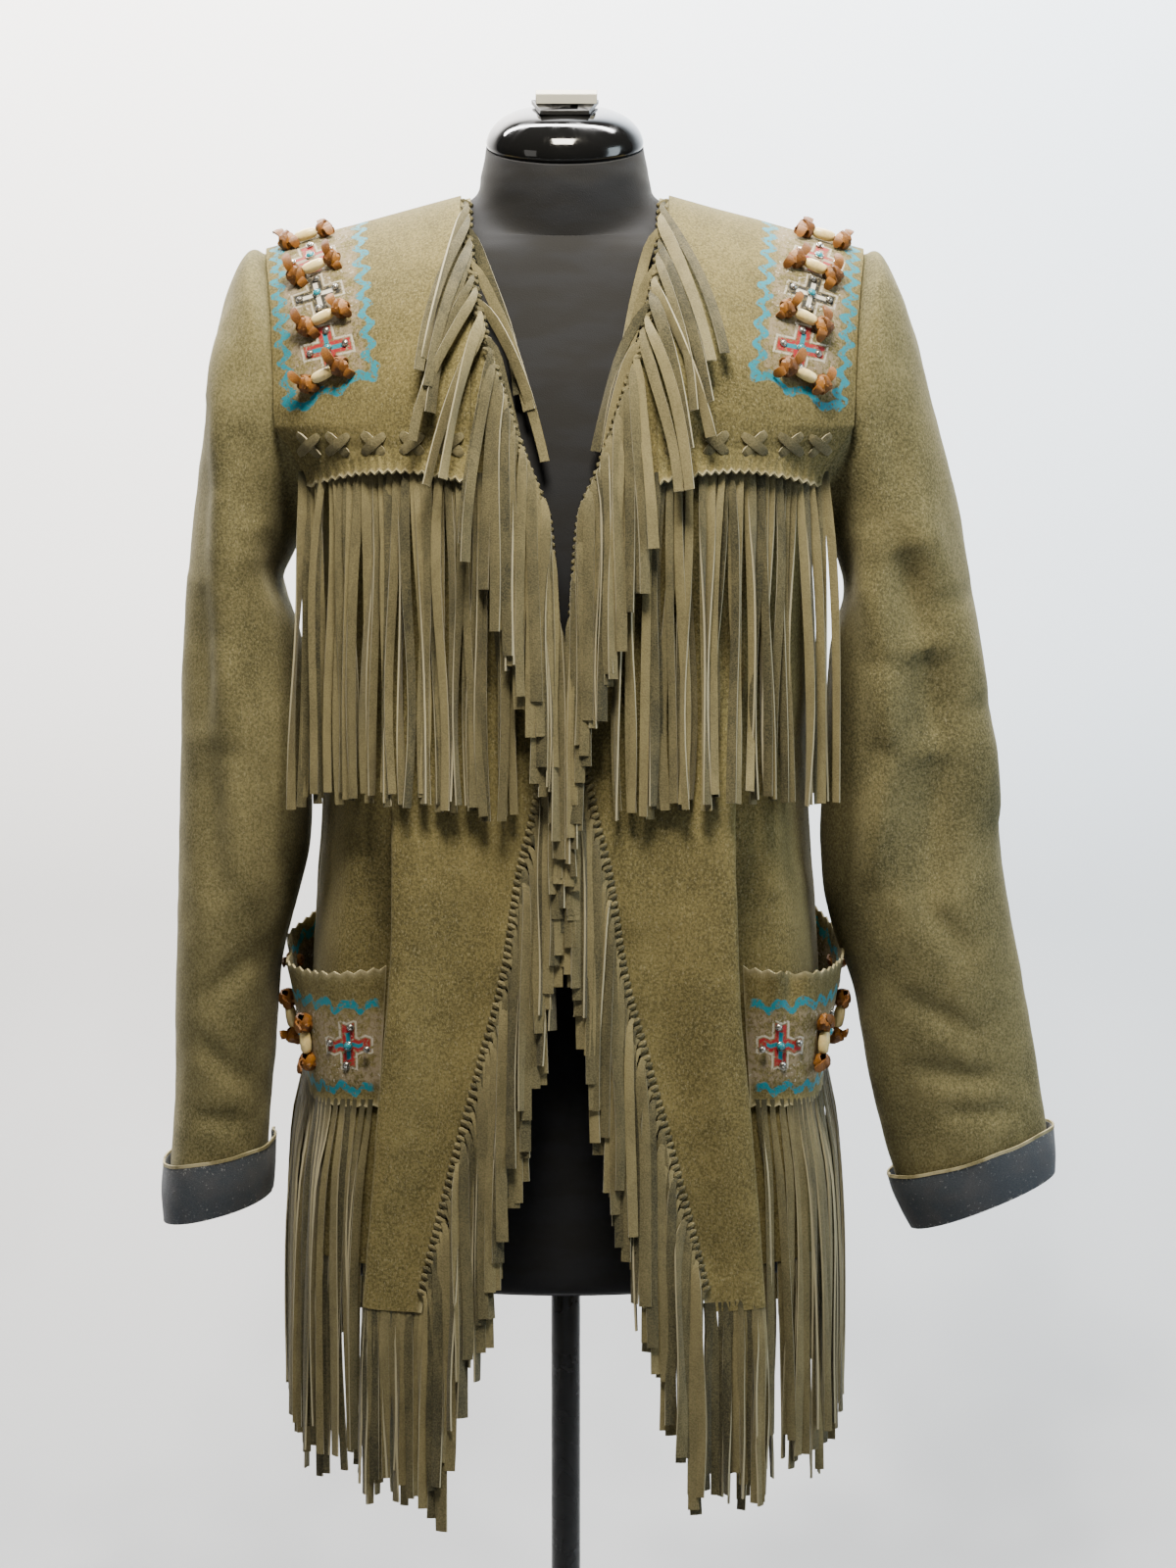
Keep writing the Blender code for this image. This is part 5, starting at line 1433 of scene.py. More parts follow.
@functools.cache
def suede_nap():
    """Brushed cloudy nap with fine grain."""
    g = Group("Suede nap", {"Position": "Vector", "Light": "Color", "Dark": "Color", "Cloud size": "Float",
                            "Grain": "Float", "Wear": "Float"}, COLOUR_AND_HEIGHT)
    position, light, dark, cloud_size, grain_share, wear = g.given
    cloud = g.speckle(position, cloud_size, 3, 0.55, 0.4)
    patches = g.speckle(position, 62, 3, 0.6, 0.3, (1, 1, 0.6))
    grain = g.speckle(position, 620, 3, 0.62)
    fuzz = g.speckle(position, 1100, 2, 0.6, 0, (1, 1, 0.5))
    shade = g.plus(g.ranged(cloud, 0.33, 0.67, 0, 0.26), g.ranged(patches, 0.34, 0.66, 0, 0.12))
    shade = g.plus(shade, g.times(g.ranged(grain, 0.33, 0.67, 0, 0.58), grain_share), True)
    pale = g.mixed(0.5, light, (0.62, 0.56, 0.38, 1))
    worn = g.times(wear, g.ranged(patches, 0.35, 0.6, 0.25, 0.85))
    colour = g.mixed(worn, g.mixed(shade, dark, light), pale)
    height = g.plus(g.times(grain, 0.7), g.times(fuzz, 0.3))
    colour = g.mixed(g.ranged(fuzz, 0.56, 0.7, 0, 0.28), colour, pale)
    return g.made(Color=colour, Height=g.plus(height, g.times(patches, 0.4)))


@functools.cache
def strand_tone():
    """A cut strand: lighter grain side, pale raw edges, each strand its own shade, and painted shade darkening its
    root.
    """
    g = Group("Strand hide", {"Position": "Vector", "Strand": "Float", "Along": "Float", "Cut": "Float",
                              "Light": "Color", "Dark": "Color"}, COLOUR_AND_HEIGHT)
    position, strand, along, cut, light, dark = g.given
    pores = g.speckle(position, 1000, 3, 0.6)
    mottle = g.speckle(position, 90, 3, 0.55, 0, (1, 1, 0.4))
    shade = g.plus(g.times(strand, 0.74), g.ranged(mottle, 0.35, 0.65, -0.05, 0.15))
    shade = g.plus(shade, g.ranged(pores, 0.32, 0.68, -0.1, 0.26), True)
    # painted shade: the first tenth of each strand is darkened towards the dark colour, standing in for the shadow
    # where it comes out from under the yoke, pocket or edge
    painted_root_shade = g.ranged(along, 0, 0.1, 0.9, 0)
    colour = g.mixed(painted_root_shade, g.mixed(shade, dark, light), dark)
    pale = g.mixed(0.4, light, (0.66, 0.61, 0.44, 1))
    return g.made(Color=g.mixed(g.times(cut, 0.85), colour, pale), Height=g.plus(pores, g.times(mottle, 0.5)))


@functools.cache
def zigzag_line():
    """A painted zigzag that runs along one direction."""
    names = ("Along", "Across", "Pitch", "Height", "Width", "Broken", "Reach")
    g = Group("Zigzag line", {"Base": "Color", "Paint": "Color", **dict.fromkeys(names, "Float")}, COLOUR_AND_MASK)
    base, paint, along, across, pitch, height, width, broken, reach = g.given
    half = g.times(pitch, 0.5)
    tooth = g.ranged(g.maths("DIVIDE", g.maths("PINGPONG", along, half), half), 0.06, 0.94)
    off = g.size_of(g.minus(across, g.times(g.minus(g.times(tooth, 2), 1), height)))
    edge = g.times(width, 0.5)
    mask = g.times(g.times(g.ranged(off, g.plus(edge, 0.0005), g.minus(edge, 0.0006)), broken), reach)
    return g.made(Color=g.mixed(mask, base, paint), Mask=mask)


@functools.cache
def painted_cross():
    """An equal-armed cross with a smaller one on it and thin pale lines beside its arms."""
    g = Group("Painted cross", {
        **dict.fromkeys(("Base", "Outer", "Inner", "Line"), "Color"),
        **dict.fromkeys(("Position", "Centre"), "Vector"),
        **dict.fromkeys(("Tilt", "Length", "Arm", "Broken"), "Float")}, COLOUR_AND_MASK)
    base, outer_paint, inner_paint, line_paint, position, centre, tilt, length, arm, broken = g.given
    local = g.vector("SUBTRACT", position, centre)
    turned = g.put("VectorRotate", {"rotation_type": "Z_AXIS"}, Vector=local, Angle=tilt).outputs[0]
    across, up = (g.size_of(part) for part in g.split(turned)[:2])

    def outside(long, wide):
        """Distance to a cross's outline, negative inside."""
        reach, half = g.times(long, 0.5), g.times(wide, 0.5)
        level = g.maths("MAXIMUM", g.minus(across, reach), g.minus(up, half))
        plumb = g.maths("MAXIMUM", g.minus(across, half), g.minus(up, reach))
        return g.maths("MINIMUM", level, plumb)

    outer = outside(length, arm)
    inner = g.ranged(outside(g.times(length, 0.66), g.times(arm, 0.36)), 0.0004, -0.0004)
    rim = g.times(g.ranged(g.size_of(g.minus(outer, 0.0014)), 0.0009, 0.0004), broken)
    outer = g.times(g.ranged(outer, 0.0005, -0.0004), broken)
    colour = g.mixed(g.times(rim, 0.55), base, line_paint)
    colour = g.mixed(inner, g.mixed(outer, colour, outer_paint), inner_paint)
    return g.made(Color=colour, Mask=g.maths("MAXIMUM", outer, inner))


@functools.cache
def sponged_paint():
    """Paint dabbed with a sponge inside a region."""
    g = Group("Sponged paint", {"Base": "Color", "Paint": "Color", "Region": "Float", "Position": "Vector",
                                "Low": "Float", "High": "Float"}, {"Color": "Color"})
    base, paint, region, position, low, high = g.given
    blots = g.speckle(position, 380, 4, 0.68, 0.4)
    thin = g.speckle(position, 70)
    mask = g.times(g.ranged(g.plus(g.times(blots, 0.75), g.times(thin, 0.3)), low, high), region)
    return g.made(Color=g.mixed(g.times(mask, 0.66), base, paint))


@functools.cache
def broken_paint():
    """Where the nap lets paint through: 1 is covered."""
    g = Group("Broken paint", {"Position": "Vector"}, {"Mask": "Float"})
    return g.made(Mask=g.ranged(g.speckle(g.given[0], 420, 3, 0.6, 0.4), 0.35, 0.5))


@functools.cache
def unsteady_brush():
    """A place moved about a little, as a brush moves in the hand."""
    g = Group("Unsteady brush", {"Place": "Vector"}, {"Across": "Float", "Up": "Float"})
    place = g.given[0]
    drift = g.put("TexNoise", (), Vector=place, Scale=130, Detail=2, Roughness=0.5).outputs[1]
    drift = g.vector("MULTIPLY", g.vector("SUBTRACT", drift, (0.5, 0.5, 0.5)), (0.0046, 0.0046, 0))
    across, up = g.split(g.vector("ADD", place, drift))[:2]
    return g.made(Across=across, Up=up)


@functools.cache
def dust_and_smears():
    """Dust and faint rubbed marks on a smooth finish."""
    g = Group("Dust and smears", {"Position": "Vector", "Clean": "Color", "Dust": "Color", "Dust size": "Float",
                                  "Roughness": "Float"}, {"Color": "Color", "Roughness": "Float"})
    position, clean, dusty, dust_size, roughness = g.given
    dust = g.speckle(position, dust_size, 5, 0.75)
    smear = g.speckle(position, 38, 3, 0.6, 0.8)
    return g.made(Color=g.mixed(g.ranged(dust, 0.66, 0.76, 0, 0.35), clean, dusty),
                  Roughness=g.ranged(smear, 0.4, 0.66, roughness, g.plus(roughness, 0.12)))


@functools.cache
def finish(kind):
    """Each finish is made once."""
    return FINISHES[kind](bpy.context.scene.jacket_colours)


def napped(name, light, dark, cloud_size, grain=1):
    """Suede and the colour of its nap, still to be fed to its shader."""
    m = Finish(name, 0.96, Sheen_Weight=0.14, Sheen_Roughness=0.45, Sheen_Tint=(0.72, 0.66, 0.46, 1),
               Specular_IOR_Level=0.16)
    nap = m.group(suede_nap(), Position=m.position(), Light=light, Dark=dark, Cloud_size=cloud_size, Grain=grain,
                  Wear=m.attribute("wear"))
    m.made(bump=(nap["Height"], 0.55, 0.0006))
    return m, nap["Color"]


def body_suede(c):
    m, colour = napped("olive suede", c.suede_light, c.suede_dark, 15)
    return m.made(Base_Color=colour)


def sleeve_suede(c):
    m, colour = napped("sleeve suede", c.sleeve_light, c.sleeve_dark, 11, 0.9)
    return m.made(Base_Color=colour)


def painted_suede(name, c, layout, crosses):
    """Suede with a painted patch. Its layout gives the zigzags and the sponged region from the UV map."""
    m, colour = napped(name, c.suede_light, c.suede_dark, 15)
    uv = m.put("UVMap", {"uv_map": "patch"}).outputs[0]
    position = m.position()
    worn = m.group(broken_paint(), Position=position)["Mask"]
    u, v = m.group(unsteady_brush(), Place=uv)[:2]
    zigzags, region = layout(m, u, v)
    for paint, place, low, high in ((c.ground, position, 0.44, 0.62), (c.white_paint, uv, 0.62, 0.68)):
        colour = m.group(sponged_paint(), Base=colour, Paint=paint, Region=region, Position=place, Low=low,
                         High=high)["Color"]
    covered = 0
    names = ("Along", "Across", "Reach", "Pitch", "Height", "Width")
    painted = [(zigzag_line(), {"Paint": c.turquoise, **dict(zip(names, row))}) for row in zigzags]
    painted += [(painted_cross(), {"Line": c.white_paint, "Position": uv, **values}) for values in crosses]
    for group, values in painted:
        node = m.group(group, Base=colour, Broken=worn, **values)
        colour = node["Color"]
        covered = m.maths("MAXIMUM", covered, node["Mask"])
    return m.made(Base_Color=colour, Roughness=m.ranged(covered, 0.2, 0.9, 0.96, 0.55))


def cross_at(u, v, tilt, length, paints):
    """What the group of a painted cross is given for one place on the patch."""
    outer, inner = paints
    return {"Centre": (u, v, 0), "Tilt": math.radians(tilt), "Length": length, "Arm": length * 0.27,
            "Outer": outer, "Inner": inner}


def painted_yoke(c):
    low = patch_place(0.1475, 1.311)[1]

    def layout(m, u, v):
        # the lower border rises towards the neck
        over = m.minus(v, m.plus(m.times(m.minus(0.025, u), 0.36), low))
        above = m.ranged(over, -0.003, -0.001)
        from_middle = m.size_of(m.plus(u, 0.003))
        zigzags = (
            (v, m.minus(u, 0.025), above, 0.0136, 0.0026, 0.0057),
            (v, m.plus(u, 0.0305), above, 0.0136, 0.0028, 0.0058),
            (m.plus(u, 0.009), over, m.ranged(from_middle, 0.031, 0.029), 0.0225, 0.0026, 0.0056),
        )
        return zigzags, m.times(m.ranged(from_middle, 0.0265, 0.0215), m.ranged(over, 0.002, 0.008))

    paints = ((c.red, c.ground), (c.black_paint, c.white_paint), (c.red, c.turquoise))
    crosses = [cross_at(*patch_place(x, z), -tilt, 0.0305, pair)
               for (x, z, tilt), pair in zip(SHOULDER_CROSSES, paints)]
    return painted_suede("painted yoke suede", c, layout, crosses)


@functools.cache
def pocket_uv():
    """Metres along and up the pocket for each of its points."""
    points = pocket_cloth("right")
    along = distance_along(points, 1, False)[POCKET_ROWS // 3]
    return along + 0 * points[..., 0], distance_along(points, 0, False)


def painted_pocket(c):
    across, up = pocket_uv()
    width, high = float(across.max()), float(up[-1].mean())

    def layout(m, u, v):
        inside = m.times(m.ranged(u, 0.003, 0.006), m.ranged(u, width - 0.003, width - 0.006))
        zigzags = (
            (u, m.minus(v, high - 0.0165), inside, 0.015, 0.0022, 0.0056),
            (u, m.minus(v, 0.0115), inside, 0.017, 0.0022, 0.0056),
        )
        return zigzags, m.times(m.ranged(v, 0.012, 0.018), m.ranged(v, high - 0.017, high - 0.024))

    paints = ((c.red, c.turquoise), (c.black_paint, c.white_paint), (c.red, c.turquoise))
    crosses = []
    for (along, height, tilt), pair in zip(POCKET_CROSSES, paints):
        column = (along - POCKET_FROM) / (POCKET_TO - POCKET_FROM) * POCKET_COLUMNS
        u = float(np.interp(column, np.arange(POCKET_COLUMNS + 1), across[0]))
        v = float(np.interp(height, np.linspace(0, 1, POCKET_ROWS), up[:, int(round(column))]))
        crosses.append(cross_at(u, v, tilt, 0.0275, pair))
    return painted_suede("painted pocket suede", c, layout, crosses)


def strand_hide(c):
    m = Finish("thong hide", 0.78, Sheen_Weight=0.12, Sheen_Roughness=0.5, Specular_IOR_Level=0.28)
    hide = m.group(strand_tone(), Position=m.position(), Strand=m.attribute("strand"), Along=m.attribute("along"),
                   Cut=m.attribute("cut"), Light=c.strand_light, Dark=c.strand_dark)
    return m.made(Base_Color=hide["Color"], bump=(hide["Height"], 0.6, 0.0006))


def rust_hide(c):
    m = Finish("rust thong", 0.52, Specular_IOR_Level=0.45)
    hide = m.group(strand_tone(), Position=m.position(), Strand=m.attribute("strand"), Along=1, Cut=0,
                   Light=(0.34, 0.135, 0.012, 1), Dark=(0.045, 0.012, 0.002, 1))
    return m.made(Base_Color=m.mixed(0.35, hide["Color"], c.rust), bump=(hide["Height"], 0.5, 0.0004))


def bone(c):
    m = Finish("bone", 0.3, Coat_Weight=0.25, Coat_Roughness=0.2, Specular_IOR_Level=0.5)
    position = m.position()
    growth = m.speckle(position, 420, 4, 0.6, 1.2)
    stain = m.speckle(position, 120)
    colour = m.mixed(m.ranged(growth, 0.42, 0.66, 0, 0.45), c.bone, (0.52, 0.36, 0.16, 1))
    colour = m.mixed(m.ranged(stain, 0.4, 0.65, 0, 0.4), colour, (0.88, 0.76, 0.44, 1))
    return m.made(Base_Color=colour, bump=(growth, 0.15, 0.0003))


def silver(c):
    m = Finish("aged silver", 0.32, 1)
    tarnish = m.speckle(m.position(), 700, 3, 0.6)
    colour = m.mixed(m.ranged(tarnish, 0.4, 0.62), (0.62, 0.61, 0.58, 1), (0.2, 0.19, 0.17, 1))
    return m.made(Base_Color=colour, Roughness=m.ranged(tarnish, 0.35, 0.65, 0.22, 0.55))


def turquoise_stone(c):
    m = Finish("turquoise stone", 0.24, Coat_Weight=0.3)
    veins = m.speckle(m.position(), 900, 4, 0.7, 1.5)
    return m.made(Base_Color=m.mixed(m.ranged(veins, 0.52, 0.6), c.stone, (0.06, 0.11, 0.085, 1)))


def worn_cuff(c):
    m = Finish("worn grey cuff", 0.92, Sheen_Weight=0.15, Specular_IOR_Level=0.2)
    position = m.position()
    weave = m.speckle(position, 950, across=(1, 1, 2.2))
    cloud = m.speckle(position, 55, 3, 0.55)
    fleck = m.speckle(position, 480, 4, 0.72)
    colour = m.mixed(m.ranged(cloud, 0.35, 0.68), c.cuff, (0.06, 0.062, 0.07, 1))
    colour = m.mixed(m.ranged(weave, 0.35, 0.68, 0, 0.3), colour, (0.1, 0.108, 0.122, 1))
    rubbed = m.plus(fleck, m.times(m.attribute("wear"), 0.09))
    colour = m.mixed(m.ranged(rubbed, 0.62, 0.72, 0, 0.5), colour, (0.42, 0.42, 0.41, 1))
    return m.made(Base_Color=colour, bump=(m.plus(weave, fleck), 0.4, 0.0005))


def jersey(c):
    m = Finish("black jersey", 0.82, Sheen_Weight=0.1, Sheen_Roughness=0.4, Specular_IOR_Level=0.3)
    position = m.position()
    knit = m.speckle(position, 1700, 1, 0.4, across=(1, 1, 0.6))
    lint = m.speckle(position, 820, 5, 0.8)
    pull = m.speckle(position, 24, across=(1, 1, 3))
    colour = m.mixed(m.ranged(pull, 0.35, 0.65, 0, 0.6), c.jersey, (0.013, 0.014, 0.018, 1))
    colour = m.mixed(m.ranged(lint, 0.74, 0.8, 0, 0.35), colour, (0.16, 0.16, 0.17, 1))
    return m.made(Base_Color=colour, bump=(m.plus(m.times(knit, 0.5), m.times(pull, 0.8)), 0.35, 0.0008))


def smooth_finish(name, clean, dust, roughness, dust_size=1400):
    """A maker of a smooth finish with dust and faint rubbed marks. Both colours are given without alpha."""
    def made(c):
        m = Finish(name, roughness, Specular_IOR_Level=0.5)
        marks = m.group(dust_and_smears(), Position=m.position(), Clean=(*clean, 1), Dust=(*dust, 1),
                        Dust_size=dust_size, Roughness=roughness)
        return m.made(Base_Color=marks["Color"], Roughness=marks["Roughness"])
    return made


FINISHES = {
    "suede": body_suede, "sleeve": sleeve_suede, "yoke": painted_yoke, "pocket": painted_pocket,
    "strand": strand_hide, "rust": rust_hide, "bone": bone, "silver": silver, "stone": turquoise_stone,
    "cuff": worn_cuff, "jersey": jersey,
    "gloss": smooth_finish("gloss black", (0.005, 0.005, 0.005), (0.1, 0.1, 0.1), 0.05),
    "satin": smooth_finish("satin black", (0.018, 0.017, 0.017), (0.12, 0.12, 0.12), 0.38),
    "enamel": smooth_finish("black enamel", (0.009, 0.009, 0.011), (0.14, 0.14, 0.14), 0.22),
    "cream": smooth_finish("cream plastic", (0.66, 0.63, 0.52), (0.4, 0.36, 0.28), 0.42, 300),
}


# Building

def one_side(points, side):
    return points if side == "left" else mirrored(points)


def build_panels():
    s = sizes()
    for side in SIDES:
        points = front_cloth(side)
        widths = (0, 0, 0.002, 0) if side == "left" else (0, 0, 0, 0.002)
        piece = wall_with_wear(f"suede_front_{side}", one_side(points, side), s.cloth, finish("suede"), widths)
        on_body(piece, "olive_suede", f"front_{side}")
    back = wall_with_wear("suede_back", back_cloth(), s.cloth, finish("suede"), (0, 0.003, 0, 0))
    on_body(back, "olive_suede", "back")


def build_sleeves():
    s = sizes()
    for side in SIDES:
        points = sleeve_cloth(side)
        piece = wall_with_wear(
            f"suede_sleeve_{side}", one_side(points, side), s.cloth, finish("sleeve"), (0, 0.004, 0, 0), True)
        on_body(piece, "olive_suede", f"sleeve_{side}")
        build_cuff(side, points)


def build_cuff(side, sleeve):
    """The turned-back cuff, slit at the inner seam, with a pale rim of suede at its free edge."""
    s = sizes()
    around = sleeve.shape[1]
    tail = sleeve[-SLEEVE_STEPS - 1:][::-1]
    normals = grid_normals(sleeve, tube=True)[-SLEEVE_STEPS - 1:][::-1]
    slit = around // 2 + around // 8
    order = [(slit + k) % around for k in range(around + 1)]
    gap = round(around * 0.35 / 16)
    order = order[gap // 2 + 1: len(order) - gap // 2 - 1]
    points, normals = tail[:, order], normals[:, order]
    t = np.linspace(0, 1, len(points))[:, None]
    seed = 80 + SIDES.index(side)
    off = CUFF_CLEAR + CUFF_FLARE * t + s.cloth + 0.0004
    off = off + 0.0009 * t * wander(points, 0.02, seed) + 0.0007 * np.sin(math.pi * t)
    end = np.minimum(np.arange(len(order)), np.arange(len(order))[::-1]) / len(order)
    off = off + 0.0045 * t * np.exp(-end / 0.02)[None, :]
    points = points + normals * off[..., None]
    points[..., 2] += t * 0.0016 * wander(points, 0.024, seed + 4)
    grid = np.flip(points, 1)
    wear = (0.003, 0.004, 0.002, 0.002)
    piece = wall_with_wear(f"turned_cuff_{side}", one_side(grid, side), s.cloth, finish("cuff"), wear)
    on_body(piece, "cuff_lining", f"cuff_{side}")
    rim = points[-2:] + grid_normals(points)[-2:] * -0.0002
    rim = np.concatenate([rim[-1:] - (0, 0, 0.0005), rim[-1:] + (0, 0, 0.0016)])
    lip = wall_with_wear(f"cuff_rim_{side}", one_side(np.flip(rim, 1), side), s.cloth * 0.8, finish("suede"),
                         (0.001, 0.001, 0, 0))
    on_body(lip, "olive_suede")


def painted_piece(name, side, grid, u, v, look, widths):
    """A sheet with the UV map of its painted patch, turned over for the wearer's right."""
    if side == "right":
        grid, u, v = mirrored(grid), np.flip(u, 1), np.flip(v, 1)
    piece = wall_with_wear(name, grid, sizes().overlay, finish(look), widths)
    place = np.stack([u.ravel(), v.ravel()], axis=1)
    set_uv(piece, np.concatenate([place, place]))
    return piece


def build_yokes():
    x, z = yoke_places()
    u, v = x - patch_mid(z), yoke_rise()[0][:, None] + 0 * x
    for side in SIDES:
        piece = painted_piece(f"suede_yoke_{side}", side, yoke_cloth(side), u, v, "yoke", (0.0006, 0, 0, 0))
        on_body(piece, "olive_suede", f"yoke_{side}")


def build_pockets():
    wear = (0.0015, 0.0022, 0.001, 0.001)
    for side in SIDES:
        piece = painted_piece(f"suede_pocket_{side}", side, pocket_cloth(side), *pocket_uv(), "pocket", wear)
        on_body(piece, "olive_suede", f"pocket_{side}")


def build_chest_fringe():
    for side in SIDES:
        on_body(chest_strands(side, finish("strand")), "fringe_suede", f"chest_fringe_{side}")


def build_edge_fringe():
    for side in SIDES:
        piece = edge_strands(side, finish("strand"))
        on_body(piece, "fringe_suede", f"edge_fringe_upper_{side}", f"edge_fringe_lower_{side}")


def build_hem_fringe():
    for side in SIDES:
        on_body(pocket_strands(side, finish("strand")), "fringe_suede", f"pocket_fringe_{side}")
        piece = hem_strands(side, finish("strand"))
        on_body(piece, "fringe_suede", f"hem_fringe_front_{side}", f"hem_fringe_side_{side}")
    on_body(back_strands(finish("strand")), "fringe_suede", "hem_fringe_back")


def build_toggles():
    """Bone beads, each between two knots of rust thong."""
    bead = model_bead(finish("bone"))
    knots = [model_knot(f"knot_{k}", 700 + k, finish("rust")) for k in range(3)]
    rng = np.random.default_rng(77)
    for side in SIDES:
        beads, tied = [], []
        for k, placed in enumerate(toggle_frames(side)):
            beads.append(moved_copy(bead, f"bead_{side}_{k}", placed))
            for end in (-1, 1):
                size = 1.08 + 0.16 * rng.random()
                spin = Matrix.Rotation(0.9 * (rng.random() - 0.5), 4, "Z")
                spin = spin @ Matrix.Rotation(0.8 * rng.random(), 4, "X")
                local = Matrix.Translation((end * KNOT_FROM_MIDDLE, 0, -0.0004)) @ spin @ Matrix.Scale(size, 4)
                tied.append(moved_copy(knots[(2 * k + (end > 0)) % 3], f"tied_{side}_{k}_{end}", placed @ local))
        nodes = [f"shoulder_toggle_{side}_{k}" for k in range(1, 5)]
        nodes += [f"pocket_toggle_{side}_{k}" for k in range(1, 4)]
        on_body(joined(f"bone_beads_{side}", beads), "bone_bead", *nodes)
        on_body(joined(f"thong_knots_{side}", tied), "bone_bead")
    for source in (bead, *knots):
        bpy.data.objects.remove(source)


def build_studs():
    """Silver studs at the ends of each cross's arms, a turquoise stone at its middle."""
    stud = model_stud(finish("silver"))
    stone_source = model_stone(finish("silver"), finish("stone"))
    for side in SIDES:
        made = []
        for k, placed in enumerate(cross_frames(side)):
            made.append(moved_copy(stone_source, f"stone_{side}_{k}", placed))
            for a in range(4):
                turn = Matrix.Rotation(a * math.pi / 2, 4, "Z") @ Matrix.Translation((STUD_FROM_MIDDLE, 0, 0))
                made.append(moved_copy(stud, f"stud_{side}_{k}_{a}", placed @ turn))
        on_body(joined(f"studs_{side}", made), "bone_bead")
    for source in (stud, stone_source):
        bpy.data.objects.remove(source)


def build_lacing():
    """Flat thongs crossed over each other, their ends pulled through slits."""
    for side in SIDES:
        _, rng, made, sign = strand_start(side, 900)
        for x in LACING_X:
            for over, way in enumerate((1, -1)):
                t = np.linspace(-1, 1, 11)
                reach_x, reach_z = 0.0076 + 0.0014 * rng.random(), 0.0066 + 0.0014 * rng.random()
                xs = x + reach_x * t
                zs = LACING_Z + 0.0025 + way * reach_z * t + 0.0006 * np.sin(2 * t)
                normal = chest_normal(xs, zs, -1)
                lift = 0.001 + 0.0013 * over * np.exp(-((t / 0.5) ** 2))
                lift = lift - 0.0026 * np.clip(np.abs(t) - 0.78, 0, 1) / 0.22
                off = yoke_lift(normal) + OVERLAY + lift
                path = chest_point(xs, zs, -1) + normal * off[:, None]
                widths = np.interp(np.abs(t), (0, 0.6, 1), (0.0066, 0.006, 0.0026))
                twist = 0.25 * (rng.random() - 0.5) + 0 * t
                made.add(path * (sign, 1, 1), normal * (sign, 1, 1), widths, twist, 0.4 + 0.3 * rng.random())
        piece = made.build(f"crossed_lacing_{side}", finish("strand"))
        on_body(piece, "olive_suede", *[f"lacing_{side}_{k}" for k in range(1, 6)])


def under_shoulder(x, y):
    """Height of the form under the cloth of the shoulders."""
    z = np.zeros(np.shape(x))
    for face in (-1, 1):
        full = np.abs(chest_point(np.abs(x), np.full(np.shape(x), CHEST_Z), face)[..., 1])
        share = np.clip(np.abs(y) / np.maximum(full, 1e-6), 0, 1)
        rise = (1 - share**SHOULDER_POWER) ** (1 / SHOULDER_POWER)
        here = CHEST_Z + (shoulder_z(x) - CHEST_Z) * rise
        normal = chest_normal(np.abs(x), here, face)
        gap = 0.0032 + FORM_SLACK * np.abs(y)
        here = here - gap / np.maximum(normal[..., 2], 0.25)
        z = np.where((y < 0) == (face < 0), here, z)
    return z


def build_form():
    a = 2 * math.pi * np.arange(FORM_SIDES) / FORM_SIDES

    def ring(z, half, front, back, tilt=0):
        y = np.sin(a) * np.where(np.sin(a) > 0, back, front)
        return points_of(half * np.cos(a), y, z + tilt * y)

    shoulders = [ring(0, *row) for row in FORM_SHOULDERS]
    for points in shoulders:
        points[:, 2] = under_shoulder(points[:, 0], points[:, 1])
    rings = [ring(*row) for row in FORM] + shoulders + [ring(*row) for row in NECK_RINGS]
    grid = smooth_rows(rings, FORM_STEPS)
    high = grid[..., 2] > 1.34
    wide = np.abs(grid[..., 0]) > NECK_X - 0.002
    roof = under_shoulder(grid[..., 0], grid[..., 1])
    grid[..., 2] = np.where(high & wide, np.minimum(grid[..., 2], roof), grid[..., 2])
    for _ in range(FORM_SMOOTHING):
        inner = 0.25 * grid[:-2] + 0.5 * grid[1:-1] + 0.25 * grid[2:]
        near = ((grid[1:-1, :, 2] > 1.33) & (grid[1:-1, :, 2] < 1.475))[..., None]
        grid[1:-1] = np.where(near, np.minimum(inner, np.where((0, 0, 1), grid[1:-1], inner)), grid[1:-1])
    normals = grid_normals(grid, tube=True)
    calm = ease(1.43, 1.455, grid[..., 2])
    pull = 0.0007 * wander(grid * (1, 1, 2.2), 0.02, 31) * calm
    grid = grid + normals * pull[..., None]
    index = np.arange(len(grid) * FORM_SIDES).reshape(-1, FORM_SIDES)
    index = np.concatenate([index, index[:, :1]], axis=1)
    faces = grid_faces(index)
    faces.append(list(reversed(index[0, :-1].tolist())))
    faces.append(index[-1, :-1].tolist())
    piece = make_object("jersey_dress_form", grid, faces, finish("jersey"), sharp=40)
    on_body(piece, "black_jersey", "form_torso")


